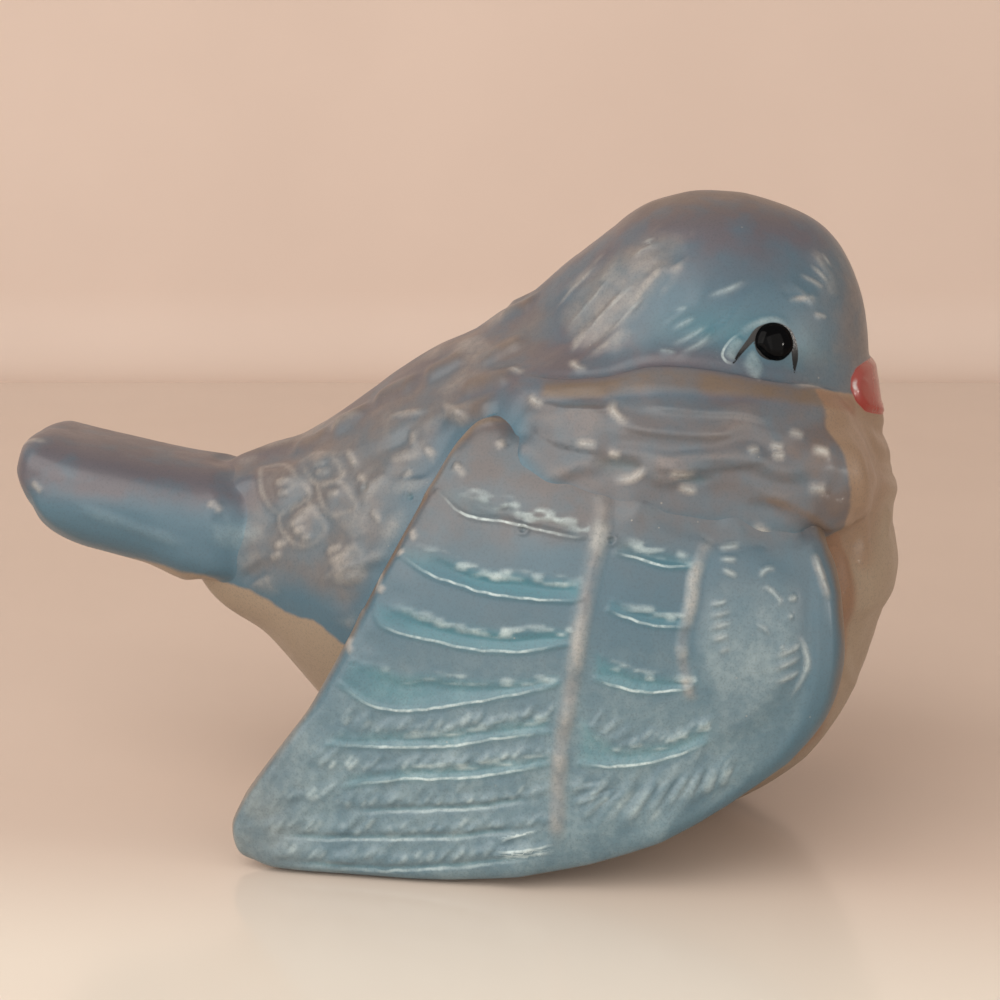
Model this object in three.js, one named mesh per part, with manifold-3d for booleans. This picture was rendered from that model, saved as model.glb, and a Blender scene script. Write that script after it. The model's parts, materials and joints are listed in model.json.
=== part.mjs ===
// A hollow slip-cast ceramic bird with a tucked head, drooped wings and a short blunt tail.
// The body with its head is one hollow casting. The wings, tail, beak and eyes are cast or pressed apart
// and luted on, so each is a solid of its own, shaped to the body and seated a slip joint away from it.
//
// Units are millimetres. The bird faces +X, its left is +Y and +Z is up.
// The body is worked out about the middle of the trunk, and the finished group is moved so that
// its origin is the middle of the whole bird, on the surface that it stands on.

import * as THREE from "three";
import { mergeVertices } from "three/addons/utils/BufferGeometryUtils.js";
import Module from "manifold-3d";

const wasm = await Module();
wasm.setup();

// Trunk: an egg whose underside is cut off flat for the foot
const trunkLength = 108;
const trunkWidth = 74;
const trunkHeight = 93;
const footCut = 3;

// Head: nearly a ball, ahead of the trunk's middle and above it, with a narrower face in front
const headLength = 52;
const headWidth = 49;
const headHeight = 50;
const headForward = 18;
const headRise = 42.5;
const neckBlend = 17;
const faceLength = 28;
const faceWidth = 27;
const faceHeight = 40;
const faceForward = 15;
const faceBlend = 7;

// Rump: a round cone from the trunk back to the seat of the tail
const rumpStartBack = 32;
const rumpStartRise = 1;
const rumpStartRadius = 29;
const rumpEndBack = 57;
const rumpEndRise = 5;
const rumpEndRadius = 16.5;
const rumpBlend = 10;

// Cape: the pad of scapular feathers on each shoulder, which the head is tucked into
const capeLength = 66;
const capeThickness = 36.5;
const capeHeight = 34;
const capeForward = 14;
const capeOut = 21;
const capeRise = 26;
const capePitch = 8;
const capeBlend = 6;

// Shell
const wall = 5;
const drainDiameter = 12;
const slipJoint = 0.3;

// Wing: a slab outlined by four edges that meet at the tip, the peak, the shoulder and the breast
const wingThickness = 7.5;
const wingOut = 47;
const wingCrestRise = -11;
const wingBulgeUp = 63;
const wingBulgeDown = 200;
const wingBulgeFront = 72;
const wingBulgeBack = 150;
const wingFlattest = 0.1;
const rimShare = 0.45;
const wingTip = [-55.3, 3];
const wingPeak = [-13.5, 78];
const wingShoulder = [40, 60];
const wingBreast = [35.7, 21.7];
const lowerEdge = [[-52, 0.6], [-47, 0], [-36, 0], [-25, 0], [-11.7, 0.9], [4.9, 4.4], [21.3, 11.1]];
const frontEdge = [[40.6, 28.7], [42.9, 36.4], [43.1, 46.2], [42.6, 53]];
const upperEdge = [[-7.2, 76.5], [-2, 72.8], [4.5, 69.2], [20.3, 67], [29.9, 65.5], [36.3, 63.3]];
const trailingEdge = [[-56.6, 6.5], [-55, 11], [-47, 22.7], [-40.2, 34.1], [-28.6, 56.6], [-18.5, 74]];

// Luting pad: the thick root on the wing's inner face
const padForward = -2;
const padRise = 0;
const padLength = 62;
const padHeight = 50;
const padDepth = 12;
const padFlatShare = 0.55;
const padFootShare = 1.1;

// Flight feathers: flat bands across the wing with a channel below each, crossed by two raised ribs
const featherBands = 8;
const channelDepth = 1.2;
const firstChannelShare = 0.12;
const lastChannelShare = 0.9;
const plainTrailingEdge = [0.03, 0.1];
const plainShoulder = [0.78, 0.88];
const ribPlaces = [0.5, 0.75];
const ribHeight = 1;

// Tail: a blunt tapered slab
const tailLength = 45;
const tailRootWidth = 30;
const tailTipWidth = 33;
const tailRootHeight = 26;
const tailTipHeight = 17.5;
const tailRootRise = 1;
const tailTipRise = 9.8;
const tailRootDepth = 16;
const tailSquareness = 2.7;
const tailTipRound = 9;

// Beak: a wide pad on the face with a ridge down its middle, drawn forward and down to a point
const beakWidth = 18;
const beakHeight = 11;
const beakPadDepth = 14;
const beakPadProud = 1.6;
const beakReach = 3.4;
const beakDrop = 9.5;
const beakRidgeTop = 5;
const beakPointDrop = 2.4;
const beakRidgeRadius = 1.4;
const beakBlend = 3;

// Eyes: black domes on the sides of the head
const eyeDiameter = 7;
const eyeBulge = 1.7;
const eyeForward = 13.8;
const eyeRise = 2.2;

// How finely each surface is cut
const bodyRings = 38;
const bodySides = 44;
const cavityRings = 14;
const bandRows = [0, 0.2, 0.34, 0.9];
const wingColumns = 16;
const rimColumns = [0.007, 0.022];
const rimRows = [0.009, 0.025];
const edgeSamples = 60;
const tailRings = 8;
const tailSides = 24;
const knobRings = 9;
const knobSides = 16;
const halvings = 32;
const slopeReach = 0.5;
const weld = 1e-4;
const tiny = 1e-6;

// Colours of the glazes
const glazes = {
  blue: { color: 0x7d97a3, roughness: 0.34 },
  wingBlue: { color: 0x86a3ae, roughness: 0.32 },
  tailBlue: { color: 0x6f8792, roughness: 0.32 },
  coral: { color: 0xb8543c, roughness: 0.28 },
  black: { color: 0x0b0b0c, roughness: 0.12 },
};

const trunkRise = trunkHeight / 2 - footCut;
const head = { x: headForward, z: trunkRise + headRise };
const rumpEnd = { x: -rumpEndBack, z: trunkRise + rumpEndRise };

// Signed distances, negative inside and close to true near the surface

function ellipsoidField(x, y, z, radiusX, radiusY, radiusZ) {
  const near = Math.hypot(x / radiusX, y / radiusY, z / radiusZ);
  const slope = Math.hypot(x / radiusX ** 2, y / radiusY ** 2, z / radiusZ ** 2);
  return slope < tiny ? -Math.min(radiusX, radiusY, radiusZ) : (near * (near - 1)) / slope;
}

function roundConeField(point, from, to, fromRadius, toRadius) {
  const axis = to.clone().sub(from);
  const along = THREE.MathUtils.clamp(point.clone().sub(from).dot(axis) / axis.lengthSq(), 0, 1);
  const radius = THREE.MathUtils.lerp(fromRadius, toRadius, along);
  return point.distanceTo(from.clone().addScaledVector(axis, along)) - radius;
}

function blend(a, b, reach) {
  const overlap = Math.max(reach - Math.abs(a - b), 0) / reach;
  return Math.min(a, b) - (overlap * overlap * reach) / 4;
}

function capeField(x, y, z) {
  const pitch = THREE.MathUtils.degToRad(capePitch);
  const dx = x - capeForward;
  const dz = z - trunkRise - capeRise;
  const along = dx * Math.cos(pitch) - dz * Math.sin(pitch);
  const out = Math.abs(y) - capeOut;
  const across = dx * Math.sin(pitch) + dz * Math.cos(pitch);
  return ellipsoidField(along, out, across, capeLength / 2, capeThickness / 2, capeHeight / 2);
}

function bodyField(x, y, z) {
  const point = new THREE.Vector3(x, y, z);
  const trunk = ellipsoidField(x, y, z - trunkRise, trunkLength / 2, trunkWidth / 2, trunkHeight / 2);
  const skull = ellipsoidField(x - head.x, y, z - head.z, headLength / 2, headWidth / 2, headHeight / 2);
  const rumpStart = new THREE.Vector3(-rumpStartBack, 0, trunkRise + rumpStartRise);
  const rump = roundConeField(
    point, rumpStart, new THREE.Vector3(rumpEnd.x, 0, rumpEnd.z), rumpStartRadius, rumpEndRadius,
  );
  const face = ellipsoidField(
    x - head.x - faceForward, y, z - head.z, faceLength / 2, faceWidth / 2, faceHeight / 2,
  );
  const core = blend(blend(trunk, rump, rumpBlend), blend(skull, face, faceBlend), neckBlend);
  return blend(core, capeField(x, y, z), capeBlend);
}

// The distance from an inside point to where a field reaches a level, going along a direction
function reachOf(field, origin, direction, level, farthest) {
  let inside = 0;
  let outside = farthest;
  const point = new THREE.Vector3();
  for (let halving = 0; halving < halvings; halving++) {
    const middle = (inside + outside) / 2;
    point.copy(origin).addScaledVector(direction, middle);
    if (field(point.x, point.y, point.z) < level) inside = middle;
    else outside = middle;
  }
  return (inside + outside) / 2;
}

// The highest point of the body, or of its cavity, on the head's own axis
function crownOf(level) {
  const up = new THREE.Vector3(0, 0, 1);
  const from = new THREE.Vector3(head.x, 0, head.z);
  return head.z + reachOf(bodyField, from, up, level, headHeight);
}

// The half width of the body at a place seen from the side
function flankAt(x, z) {
  const across = new THREE.Vector3(0, -1, 0);
  return reachOf(bodyField, new THREE.Vector3(x, 0, z), across, 0, trunkWidth);
}

// How far forward the face reaches at a height
function faceAt(z) {
  const ahead = new THREE.Vector3(1, 0, 0);
  return head.x + reachOf(bodyField, new THREE.Vector3(head.x, 0, z), ahead, 0, trunkLength);
}

// A closed surface from rings that all have as many points, with a point at one or both ends
function skin(rings, firstPole, lastPole) {
  const sides = rings[0].length;
  const points = rings.flat();
  const faces = [];
  const at = (ring, side) => ring * sides + (side % sides);
  for (let ring = 0; ring < rings.length - 1; ring++) {
    for (let side = 0; side < sides; side++) {
      const [a, b] = [at(ring, side), at(ring, side + 1)];
      const [c, d] = [at(ring + 1, side + 1), at(ring + 1, side)];
      faces.push(a, b, c, a, c, d);
    }
  }
  const first = points.push(firstPole) - 1;
  const last = points.push(lastPole) - 1;
  for (let side = 0; side < sides; side++) {
    faces.push(first, at(0, side + 1), at(0, side));
    faces.push(last, at(rings.length - 1, side), at(rings.length - 1, side + 1));
  }
  return new THREE.BufferGeometry().setFromPoints(points).setIndex(faces);
}

// A level slice of a field, as a ring of points that runs clockwise seen from above
function slice(field, centreX, z, level, sides, farthest) {
  const origin = new THREE.Vector3(centreX, 0, z);
  return Array.from({ length: sides }, (unused, side) => {
    const turn = (-2 * Math.PI * side) / sides;
    const direction = new THREE.Vector3(Math.cos(turn), Math.sin(turn), 0);
    return origin.clone().addScaledVector(direction, reachOf(field, origin, direction, level, farthest));
  });
}

// Heights from a pole down to a floor, close together near the pole where the surface turns level
function heightsFrom(top, floor, count) {
  return Array.from({ length: count }, (unused, i) => {
    const even = (i + 1) / count;
    const gathered = 1 - Math.cos((even * Math.PI) / 2);
    return THREE.MathUtils.lerp(top, floor, (even + gathered) / 2);
  });
}

// Slices are centred under the head at the top and under the trunk's middle at the foot
function sliceCentre(z) {
  return head.x * THREE.MathUtils.smoothstep(z, trunkRise, head.z);
}

function bodySlices(level, floor, count) {
  return heightsFrom(crownOf(level), floor, count).map(
    (z) => slice(bodyField, sliceCentre(z), z, level, bodySides, trunkLength),
  );
}

// The outside of the body as a solid with no hollow, grown by a gap, for cutting what seats on it
function bodyForm(gap) {
  const rings = bodySlices(gap, 0, bodyRings);
  return skin(rings, new THREE.Vector3(head.x, 0, crownOf(gap)), new THREE.Vector3(0, 0, 0));
}

function drainRing(z) {
  return Array.from({ length: bodySides }, (unused, side) => {
    const turn = (-2 * Math.PI * side) / bodySides;
    return new THREE.Vector3(Math.cos(turn), Math.sin(turn), 0)
      .multiplyScalar(drainDiameter / 2)
      .setZ(z);
  });
}

// Down the outside, across the foot, up the drain hole and up the inside of the wall
function bodyShell() {
  const outside = bodySlices(0, 0, bodyRings);
  const inside = bodySlices(-wall, wall, cavityRings).reverse();
  const rings = [...outside, drainRing(0), drainRing(wall), ...inside];
  const crown = new THREE.Vector3(head.x, 0, crownOf(0));
  return skin(rings, crown, crown.clone().setZ(crownOf(-wall)));
}

// A curve through a start, some points between and an end, in the plane of the side view
function edgeCurve(start, between, end) {
  const points = [start, ...between, end].map(([x, z]) => new THREE.Vector3(x, 0, z));
  return new THREE.CatmullRomCurve3(points, false, "centripetal");
}

const wingEdges = {
  lower: edgeCurve(wingTip, lowerEdge, wingBreast),
  front: edgeCurve(wingBreast, frontEdge, wingShoulder),
  upper: edgeCurve(wingPeak, upperEdge, wingShoulder),
  trailing: edgeCurve(wingTip, trailingEdge, wingPeak),
};

const wingOutline = Object.values(wingEdges).flatMap((edge) => edge.getSpacedPoints(edgeSamples));

// A place on the wing: u runs from the trailing edge to the front edge, v from the lower edge up
function wingPlace(u, v) {
  const { lower, front, upper, trailing } = wingEdges;
  const corners = new THREE.Vector3(wingTip[0], 0, wingTip[1])
    .multiplyScalar((1 - u) * (1 - v))
    .addScaledVector(new THREE.Vector3(wingBreast[0], 0, wingBreast[1]), u * (1 - v))
    .addScaledVector(new THREE.Vector3(wingPeak[0], 0, wingPeak[1]), (1 - u) * v)
    .addScaledVector(new THREE.Vector3(wingShoulder[0], 0, wingShoulder[1]), u * v);
  return new THREE.Vector3()
    .addScaledVector(lower.getPointAt(u), 1 - v)
    .addScaledVector(upper.getPointAt(u), v)
    .addScaledVector(trailing.getPointAt(v), 1 - u)
    .addScaledVector(front.getPointAt(v), u)
    .sub(corners);
}

function distanceToOutline(place) {
  return Math.min(...wingOutline.map((point) => point.distanceTo(place)));
}

// How far the wing's outer face stands from the bird's middle plane
function wingFace(x, z) {
  const along = x / (x > 0 ? wingBulgeFront : wingBulgeBack);
  const rise = z - trunkRise - wingCrestRise;
  const up = rise / (rise > 0 ? wingBulgeUp : wingBulgeDown);
  return wingOut * Math.sqrt(Math.max(1 - along * along - up * up, wingFlattest));
}

// The share of the carving's full depth there is between the two plain margins of the wing
function carvedShare(u) {
  return THREE.MathUtils.smoothstep(u, ...plainTrailingEdge)
    * (1 - THREE.MathUtils.smoothstep(u, ...plainShoulder));
}

// The height of the carved feathers over the plain face of the wing
function featherRelief(u, v) {
  const band = ((v - firstChannelShare) / (lastChannelShare - firstChannelShare)) * featherBands;
  const [, floorEnd, bandStart, bandEnd] = bandRows;
  const share = band - Math.floor(band);
  const rising = THREE.MathUtils.clamp((share - floorEnd) / (bandStart - floorEnd), 0, 1);
  const falling = THREE.MathUtils.clamp((1 - share) / (1 - bandEnd), 0, 1);
  const inBands = band > -tiny && band < featherBands - tiny;
  const rib = Math.max(...ribPlaces.map((place) => 1 - Math.abs(u - place) * wingColumns), 0);
  const channel = inBands ? channelDepth * (1 - Math.min(rising, falling)) : 0;
  return carvedShare(u) * (ribHeight * rib - channel * (1 - rib));
}

// How much of the luting pad's depth there is at a place on the wing's inner face
function padShare(x, z) {
  const out = Math.hypot((x - padForward) / (padLength / 2), (z - trunkRise - padRise) / (padHeight / 2));
  return 1 - THREE.MathUtils.smoothstep(out, padFlatShare, padFootShare);
}

// The quarter round of a rim, as the share of its radius that is lost at a distance from the edge
function rimLoss(distance, radius) {
  const short = 1 - Math.min(distance / radius, 1);
  return 1 - Math.sqrt(1 - short * short);
}

function evenShares(count) {
  return Array.from({ length: count - 1 }, (unused, i) => (i + 1) / count);
}

// The rows that the channels need, with one more on the plain wing above and below them
function bandShares() {
  const bands = Array.from({ length: featherBands }, (unused, band) => bandRows.map((row) => band + row));
  const shares = bands.flat().map(
    (row) => THREE.MathUtils.lerp(firstChannelShare, lastChannelShare, row / featherBands),
  );
  return [firstChannelShare / 2, ...shares, lastChannelShare, (1 + lastChannelShare) / 2];
}

// Shares from 0 to 1 with extra ones near both ends, where the rim turns
function ruledShares(rim, inner) {
  return [0, ...rim, ...inner, ...rim.map((share) => 1 - share).reverse(), 1];
}

const outerRim = wingThickness * rimShare;
const innerRim = wingThickness - outerRim;

// The outer and inner points of the wing at one place. On its outline the two are one point.
function wingPoints(u, v) {
  const place = wingPlace(u, v);
  place.z = Math.max(place.z, 0);
  const face = wingFace(place.x, place.z);
  if (u === 0 || u === 1 || v === 0 || v === 1) {
    const seam = new THREE.Vector3(place.x, outerRim - face, place.z);
    return [seam, seam];
  }
  const edge = distanceToOutline(place);
  const outer = face - outerRim * rimLoss(edge, outerRim) + featherRelief(u, v);
  const slab = wingThickness - innerRim * rimLoss(edge, innerRim);
  const inner = face - slab - padDepth * padShare(place.x, place.z);
  return [new THREE.Vector3(place.x, -outer, place.z), new THREE.Vector3(place.x, -inner, place.z)];
}

// The right wing as a solid: a grid of places on the outer face and the same places on the inner face
function wingSlab() {
  const columns = ruledShares(rimColumns, evenShares(wingColumns));
  const rows = ruledShares(rimRows, bandShares());
  const points = [];
  const faces = [];
  const grid = rows.map((v) => columns.map((u) => {
    const [outer, inner] = wingPoints(u, v);
    const outerPoint = points.push(outer) - 1;
    const innerPoint = inner === outer ? outerPoint : points.push(inner) - 1;
    return { outerPoint, innerPoint };
  }));
  for (let row = 0; row < rows.length - 1; row++) {
    for (let column = 0; column < columns.length - 1; column++) {
      const corners = [
        grid[row][column], grid[row][column + 1], grid[row + 1][column + 1], grid[row + 1][column],
      ];
      const [a, b, c, d] = corners.map((corner) => corner.outerPoint);
      const [e, f, g, h] = corners.map((corner) => corner.innerPoint);
      faces.push(a, b, c, a, c, d, e, g, f, e, h, g);
    }
  }
  return new THREE.BufferGeometry().setFromPoints(points).setIndex(faces);
}

// A value with its sign kept and its size raised to a power
function signedPower(value, power) {
  return Math.sign(value) * Math.abs(value) ** power;
}

// One oblong ring of the tail, at a distance back from the tail's seat and a share of its full size
function tailRing(back, size) {
  const along = THREE.MathUtils.clamp(back / tailLength, 0, 1);
  const halfWidth = (THREE.MathUtils.lerp(tailRootWidth, tailTipWidth, along) / 2) * size;
  const halfHeight = (THREE.MathUtils.lerp(tailRootHeight, tailTipHeight, Math.sqrt(along)) / 2) * size;
  const middle = rumpEnd.z + THREE.MathUtils.lerp(tailRootRise, tailTipRise, along);
  return Array.from({ length: tailSides }, (unused, side) => {
    const turn = (-2 * Math.PI * side) / tailSides;
    const across = signedPower(Math.cos(turn), 2 / tailSquareness);
    const up = signedPower(Math.sin(turn), 2 / tailSquareness);
    return new THREE.Vector3(rumpEnd.x - back, halfWidth * across, middle + halfHeight * up);
  });
}

// The tail as rings that run back from inside the rump and close in round the blunt tip
function tailSlab() {
  const straight = tailLength - tailTipRound;
  const rings = [];
  for (let i = 0; i <= tailRings; i++) {
    rings.push(tailRing(THREE.MathUtils.lerp(-tailRootDepth, straight, i / tailRings), 1));
  }
  for (let i = 1; i < tailRings; i++) {
    const turn = (Math.PI / 2) * (i / tailRings);
    const size = Math.cos(turn) ** (2 / tailSquareness);
    rings.push(tailRing(straight + tailTipRound * Math.sin(turn) ** (2 / tailSquareness), size));
  }
  const root = new THREE.Vector3(rumpEnd.x + tailRootDepth, 0, rumpEnd.z + tailRootRise);
  const tip = new THREE.Vector3(rumpEnd.x - tailLength, 0, rumpEnd.z + tailTipRise);
  return skin(rings, root, tip);
}

// The beak as level slices of the pad and the ridge blended together
function beakKnob() {
  const base = head.z - beakDrop;
  const face = faceAt(base);
  const padX = face + beakPadProud - beakPadDepth / 2;
  const ridgeTop = base + beakRidgeTop;
  const brow = new THREE.Vector3(faceAt(ridgeTop), 0, ridgeTop - beakRidgeRadius);
  const point = new THREE.Vector3(face + beakReach - beakRidgeRadius, 0, base - beakPointDrop);
  const pad = (x, y, z) => ellipsoidField(
    x - padX, y, z - base, beakPadDepth / 2, beakWidth / 2, beakHeight / 2,
  );
  const ridge = (x, y, z) => roundConeField(
    new THREE.Vector3(x, y, z), brow, point, beakRidgeRadius, beakRidgeRadius,
  );
  const field = (x, y, z) => blend(pad(x, y, z), ridge(x, y, z), beakBlend);
  const middle = new THREE.Vector3(face, 0, base);
  const vertical = new THREE.Vector3(0, 0, 1);
  const top = base + reachOf(field, middle, vertical, 0, beakHeight);
  const bottom = base - reachOf(field, middle, vertical.clone().negate(), 0, beakHeight);
  const rings = [];
  for (let i = 1; i < knobRings * 2; i++) {
    const z = (top + bottom) / 2 + ((top - bottom) / 2) * Math.cos((Math.PI * i) / (knobRings * 2));
    rings.push(slice(field, face, z, 0, knobSides, beakHeight));
  }
  return skin(rings, middle.clone().setZ(top), middle.clone().setZ(bottom));
}

// The way straight out of the body at a place on its surface
function outwardAt({ x, y, z }) {
  return new THREE.Vector3(
    bodyField(x + slopeReach, y, z) - bodyField(x - slopeReach, y, z),
    bodyField(x, y + slopeReach, z) - bodyField(x, y - slopeReach, z),
    bodyField(x, y, z + slopeReach) - bodyField(x, y, z - slopeReach),
  ).normalize();
}

// A dome on the side of the head, centred on its surface and lying along it
function eyeDome() {
  const x = head.x + eyeForward;
  const z = head.z + eyeRise;
  const surface = new THREE.Vector3(x, -flankAt(x, z), z);
  const outward = outwardAt(surface);
  const turn = new THREE.Quaternion().setFromUnitVectors(new THREE.Vector3(0, 1, 0), outward);
  return new THREE.SphereGeometry(eyeDiameter / 2, knobSides, knobRings)
    .scale(1, (eyeBulge / eyeDiameter) * 2, 1)
    .applyQuaternion(turn)
    .translate(surface.x, surface.y, surface.z);
}

// Joins and cuts

function solidOf(geometry) {
  const bare = new THREE.BufferGeometry()
    .setAttribute("position", geometry.getAttribute("position"))
    .setIndex(geometry.index);
  const merged = mergeVertices(bare, weld);
  return new wasm.Manifold(new wasm.Mesh({
    numProp: 3,
    vertProperties: merged.attributes.position.array,
    triVerts: new Uint32Array(merged.index.array),
  }));
}

function geometryOf(solid) {
  const mesh = solid.getMesh();
  const geometry = new THREE.BufferGeometry()
    .setAttribute("position", new THREE.BufferAttribute(mesh.vertProperties, 3))
    .setIndex(new THREE.BufferAttribute(mesh.triVerts, 1));
  geometry.computeVertexNormals();
  return geometry;
}

// What a cut leaves of a piece: its largest body, so that no sliver inside the cutter stays
function largest(solid) {
  return solid.decompose().sort((a, b) => b.volume() - a.volume())[0];
}

const cutter = solidOf(bodyForm(slipJoint));

function seated(geometry) {
  return largest(solidOf(geometry).subtract(cutter));
}

function mirrored(solid) {
  return solid.mirror([0, 1, 0]);
}

function piece(name, solid, glaze) {
  const material = new THREE.MeshStandardMaterial({ ...glaze, metalness: 0 });
  const mesh = new THREE.Mesh(geometryOf(solid), material);
  mesh.name = name;
  return mesh;
}

const bird = new THREE.Group();
const wing = seated(wingSlab());
const eye = seated(eyeDome());
bird.add(
  piece("body_shell", solidOf(bodyShell()), glazes.blue),
  piece("tail", seated(tailSlab()), glazes.tailBlue),
  piece("right_wing", wing, glazes.wingBlue),
  piece("left_wing", mirrored(wing), glazes.wingBlue),
  piece("beak", seated(beakKnob()), glazes.coral),
  piece("right_eye", eye, glazes.black),
  piece("left_eye", mirrored(eye), glazes.black),
);

const bounds = new THREE.Box3().setFromObject(bird);
bird.position.set(-(bounds.min.x + bounds.max.x) / 2, 0, -bounds.min.z);

export default bird;
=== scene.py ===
# Much of the colour laid on like glaze is painted light: highlights, sheen, shade, warm reflections and the
# wing's shadow.
# A glazed ceramic bird that rests with its head tucked into its shoulders, on a plain pale floor.
#
# Each piece starts as a smooth skin taken from the frame. It is then carved and built up like soft clay,
# along lines that are placed by pixels of the photograph and cast onto the skin, and the same lines say
# where each glaze was sprayed or brushed. The far side mirrors the near one. A mark of a tool has a name,
# which holds its width and rise in mm and how much of each glaze lies in it, from 0 to 1.
# Lengths are in metres, written in millimetres times MM. Pixels run right and down from the top left.

import json
import math

import bmesh
import bpy
import numpy as np
from mathutils import Matrix, Vector
from mathutils.bvhtree import BVHTree
from mathutils.kdtree import KDTree


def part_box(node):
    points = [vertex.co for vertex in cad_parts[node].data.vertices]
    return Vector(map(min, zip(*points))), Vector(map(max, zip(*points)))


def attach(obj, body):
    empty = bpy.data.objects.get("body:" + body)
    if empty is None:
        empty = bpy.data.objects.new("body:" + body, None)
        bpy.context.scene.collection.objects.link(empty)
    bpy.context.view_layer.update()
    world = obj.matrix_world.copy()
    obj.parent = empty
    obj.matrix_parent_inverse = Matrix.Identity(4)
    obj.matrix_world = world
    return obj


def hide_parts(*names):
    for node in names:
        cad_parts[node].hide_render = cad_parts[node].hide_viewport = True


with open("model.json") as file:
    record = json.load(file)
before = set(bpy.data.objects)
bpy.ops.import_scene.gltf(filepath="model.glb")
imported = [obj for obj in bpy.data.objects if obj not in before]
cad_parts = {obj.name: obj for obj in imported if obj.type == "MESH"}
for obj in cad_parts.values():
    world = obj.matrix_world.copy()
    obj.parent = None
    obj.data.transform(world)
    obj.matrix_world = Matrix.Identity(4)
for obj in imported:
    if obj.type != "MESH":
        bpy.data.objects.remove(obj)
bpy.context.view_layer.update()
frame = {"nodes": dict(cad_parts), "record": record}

MM = 0.001

# The photograph and the camera that took it
PHOTO_SIDE = 1000
PHOTO_FOCAL = 2520
SENSOR_SIDE = 36
CAMERA_DISTANCE = 450 * MM
CAMERA_RISE = math.radians(12)
CAMERA_TURN = math.radians(7)
CAMERA_TARGET = np.array([7.6, 0, 56]) * MM
CLIP_START = 10 * MM
PIXELS_PER_MM = PHOTO_FOCAL * MM / CAMERA_DISTANCE

# How finely each skin is cut, and how often it is relaxed
BODY_GRAIN = 0.5 * MM
WING_GRAIN = 0.34 * MM
TAIL_GRAIN = 0.5 * MM
SMALL_GRAIN = 0.16 * MM
BODY_PASSES = 70
TAIL_PASSES = 60
WING_PASSES = 30
SMALL_PASSES = 30
LAST_PASSES = 1
WELD_DISTANCE = 0.001 * MM

# The glazes and the painted light, as the eye sees them, from 0 to 255
BLUE = (64, 96, 112)
TEAL = (46, 105, 119)
# the mauve is partly the lilac sprayed over the tops and partly painted shade and warm reflection on what
# faces up
MAUVE = (87, 83, 90)
# the brown is painted shade and dark reflection on rims and tops, the wing's painted shadow on the breast,
# and the warm band and patches of the cape and back
BROWN = (100, 84, 70)
# the pale cyan is painted highlight on crests and painted light low on the wing, and the pale tint round the
# eye
PALE = (176, 190, 190)
# the pinkish is a painted sheen and highlight on raised dabs, ridges, streaks and the brow
BLUSH = (156, 150, 143)
CREAM = (145, 127, 107)
# the orange-brown is the painted shadow of the wing on the cream breast
TOAST = (124, 88, 62)
CORAL = (138, 20, 2)
INK = (4, 4, 5)
# the near-white is a painted highlight along crests
GLINT = (222, 236, 234)

# What is sprayed is an amount from 0 to 1, and what is brushed is a distance in mm from an edge or a crest.
# The last sprayed amount and the crest distance place painted highlights, and the pinkish amount is a
# painted sheen.
SPRAYED = ("teal", "mauve", "brown", "pale", "blush", "shine")
BRUSHED = ("cream", "coral", "ink", "crest")
FAR_OUTSIDE = -5.0

# How far a point's normal turns to the camera where the carving on it starts, and where it is in full
FACING = (-0.05, 0.2)

# Painted highlights on crests, combed patches and feather edges: widths in mm, and the grain that takes a
# comb's glazes
CREST_REACH = 1.4
CREST_FADE = (1.1, 0.6)
COMB_BEND = 1.6
COMB_WAVE = 7
COMB_EDGE = 1.5
COMB_TOPS = (0.0, 0.8)
FEATHER_CURL = 1.5


# The camera, and how its pixels and the bird's places are turned into each other

sight = np.array([
    -math.sin(CAMERA_TURN) * math.cos(CAMERA_RISE),
    math.cos(CAMERA_TURN) * math.cos(CAMERA_RISE),
    -math.sin(CAMERA_RISE),
])
rightward = np.array([math.cos(CAMERA_TURN), math.sin(CAMERA_TURN), 0.0])
upward = np.cross(rightward, sight)
lens_place = CAMERA_TARGET - sight * CAMERA_DISTANCE


def photo_place(points):
    """Where points show in the photograph, in pixels. Points of the far side count as mirrored ones."""
    near = np.column_stack([points[:, 0], -np.abs(points[:, 1]), points[:, 2]])
    out = near - lens_place
    depth = out @ sight
    across = np.column_stack([out @ rightward, -(out @ upward)])
    return PHOTO_SIDE / 2 + PHOTO_FOCAL * across / depth[:, None]


def cast(tree, pixels):
    """Where pixels of the photograph fall on a skin, or the skin's nearest place if they miss it."""
    found = []
    for x, y in pixels:
        direction = (
            sight
            + rightward * (x - PHOTO_SIDE / 2) / PHOTO_FOCAL
            - upward * (y - PHOTO_SIDE / 2) / PHOTO_FOCAL
        )
        hit = tree.ray_cast(Vector(lens_place), Vector(direction))[0]
        if hit is None:
            hit = tree.find_nearest(Vector(lens_place + direction * CAMERA_DISTANCE))[0]
        found.append(hit)
    return np.array(found)


def add_camera():
    camera = bpy.data.objects.new("camera", bpy.data.cameras.new("camera"))
    bpy.context.scene.collection.objects.link(camera)
    axes = Matrix([rightward, upward, -sight]).transposed().to_4x4()
    camera.matrix_world = Matrix.Translation(Vector(lens_place)) @ axes
    camera.data.sensor_width = SENSOR_SIDE
    camera.data.lens = PHOTO_FOCAL / PHOTO_SIDE * SENSOR_SIDE
    camera.data.clip_start = CLIP_START
    bpy.context.scene.camera = camera


# Plain sums

CLOUD_SIDE = 64
CURVE_STEPS = 5


def smoothstep(low, high, value):
    share = np.clip((value - low) / (high - low), 0, 1)
    return share * share * (3 - 2 * share)


def bell(distance, half_width):
    """1 on a line, falling smoothly to 0 at half_width from it."""
    return np.clip(1 - (distance / half_width) ** 2, 0, 1) ** 2


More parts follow.
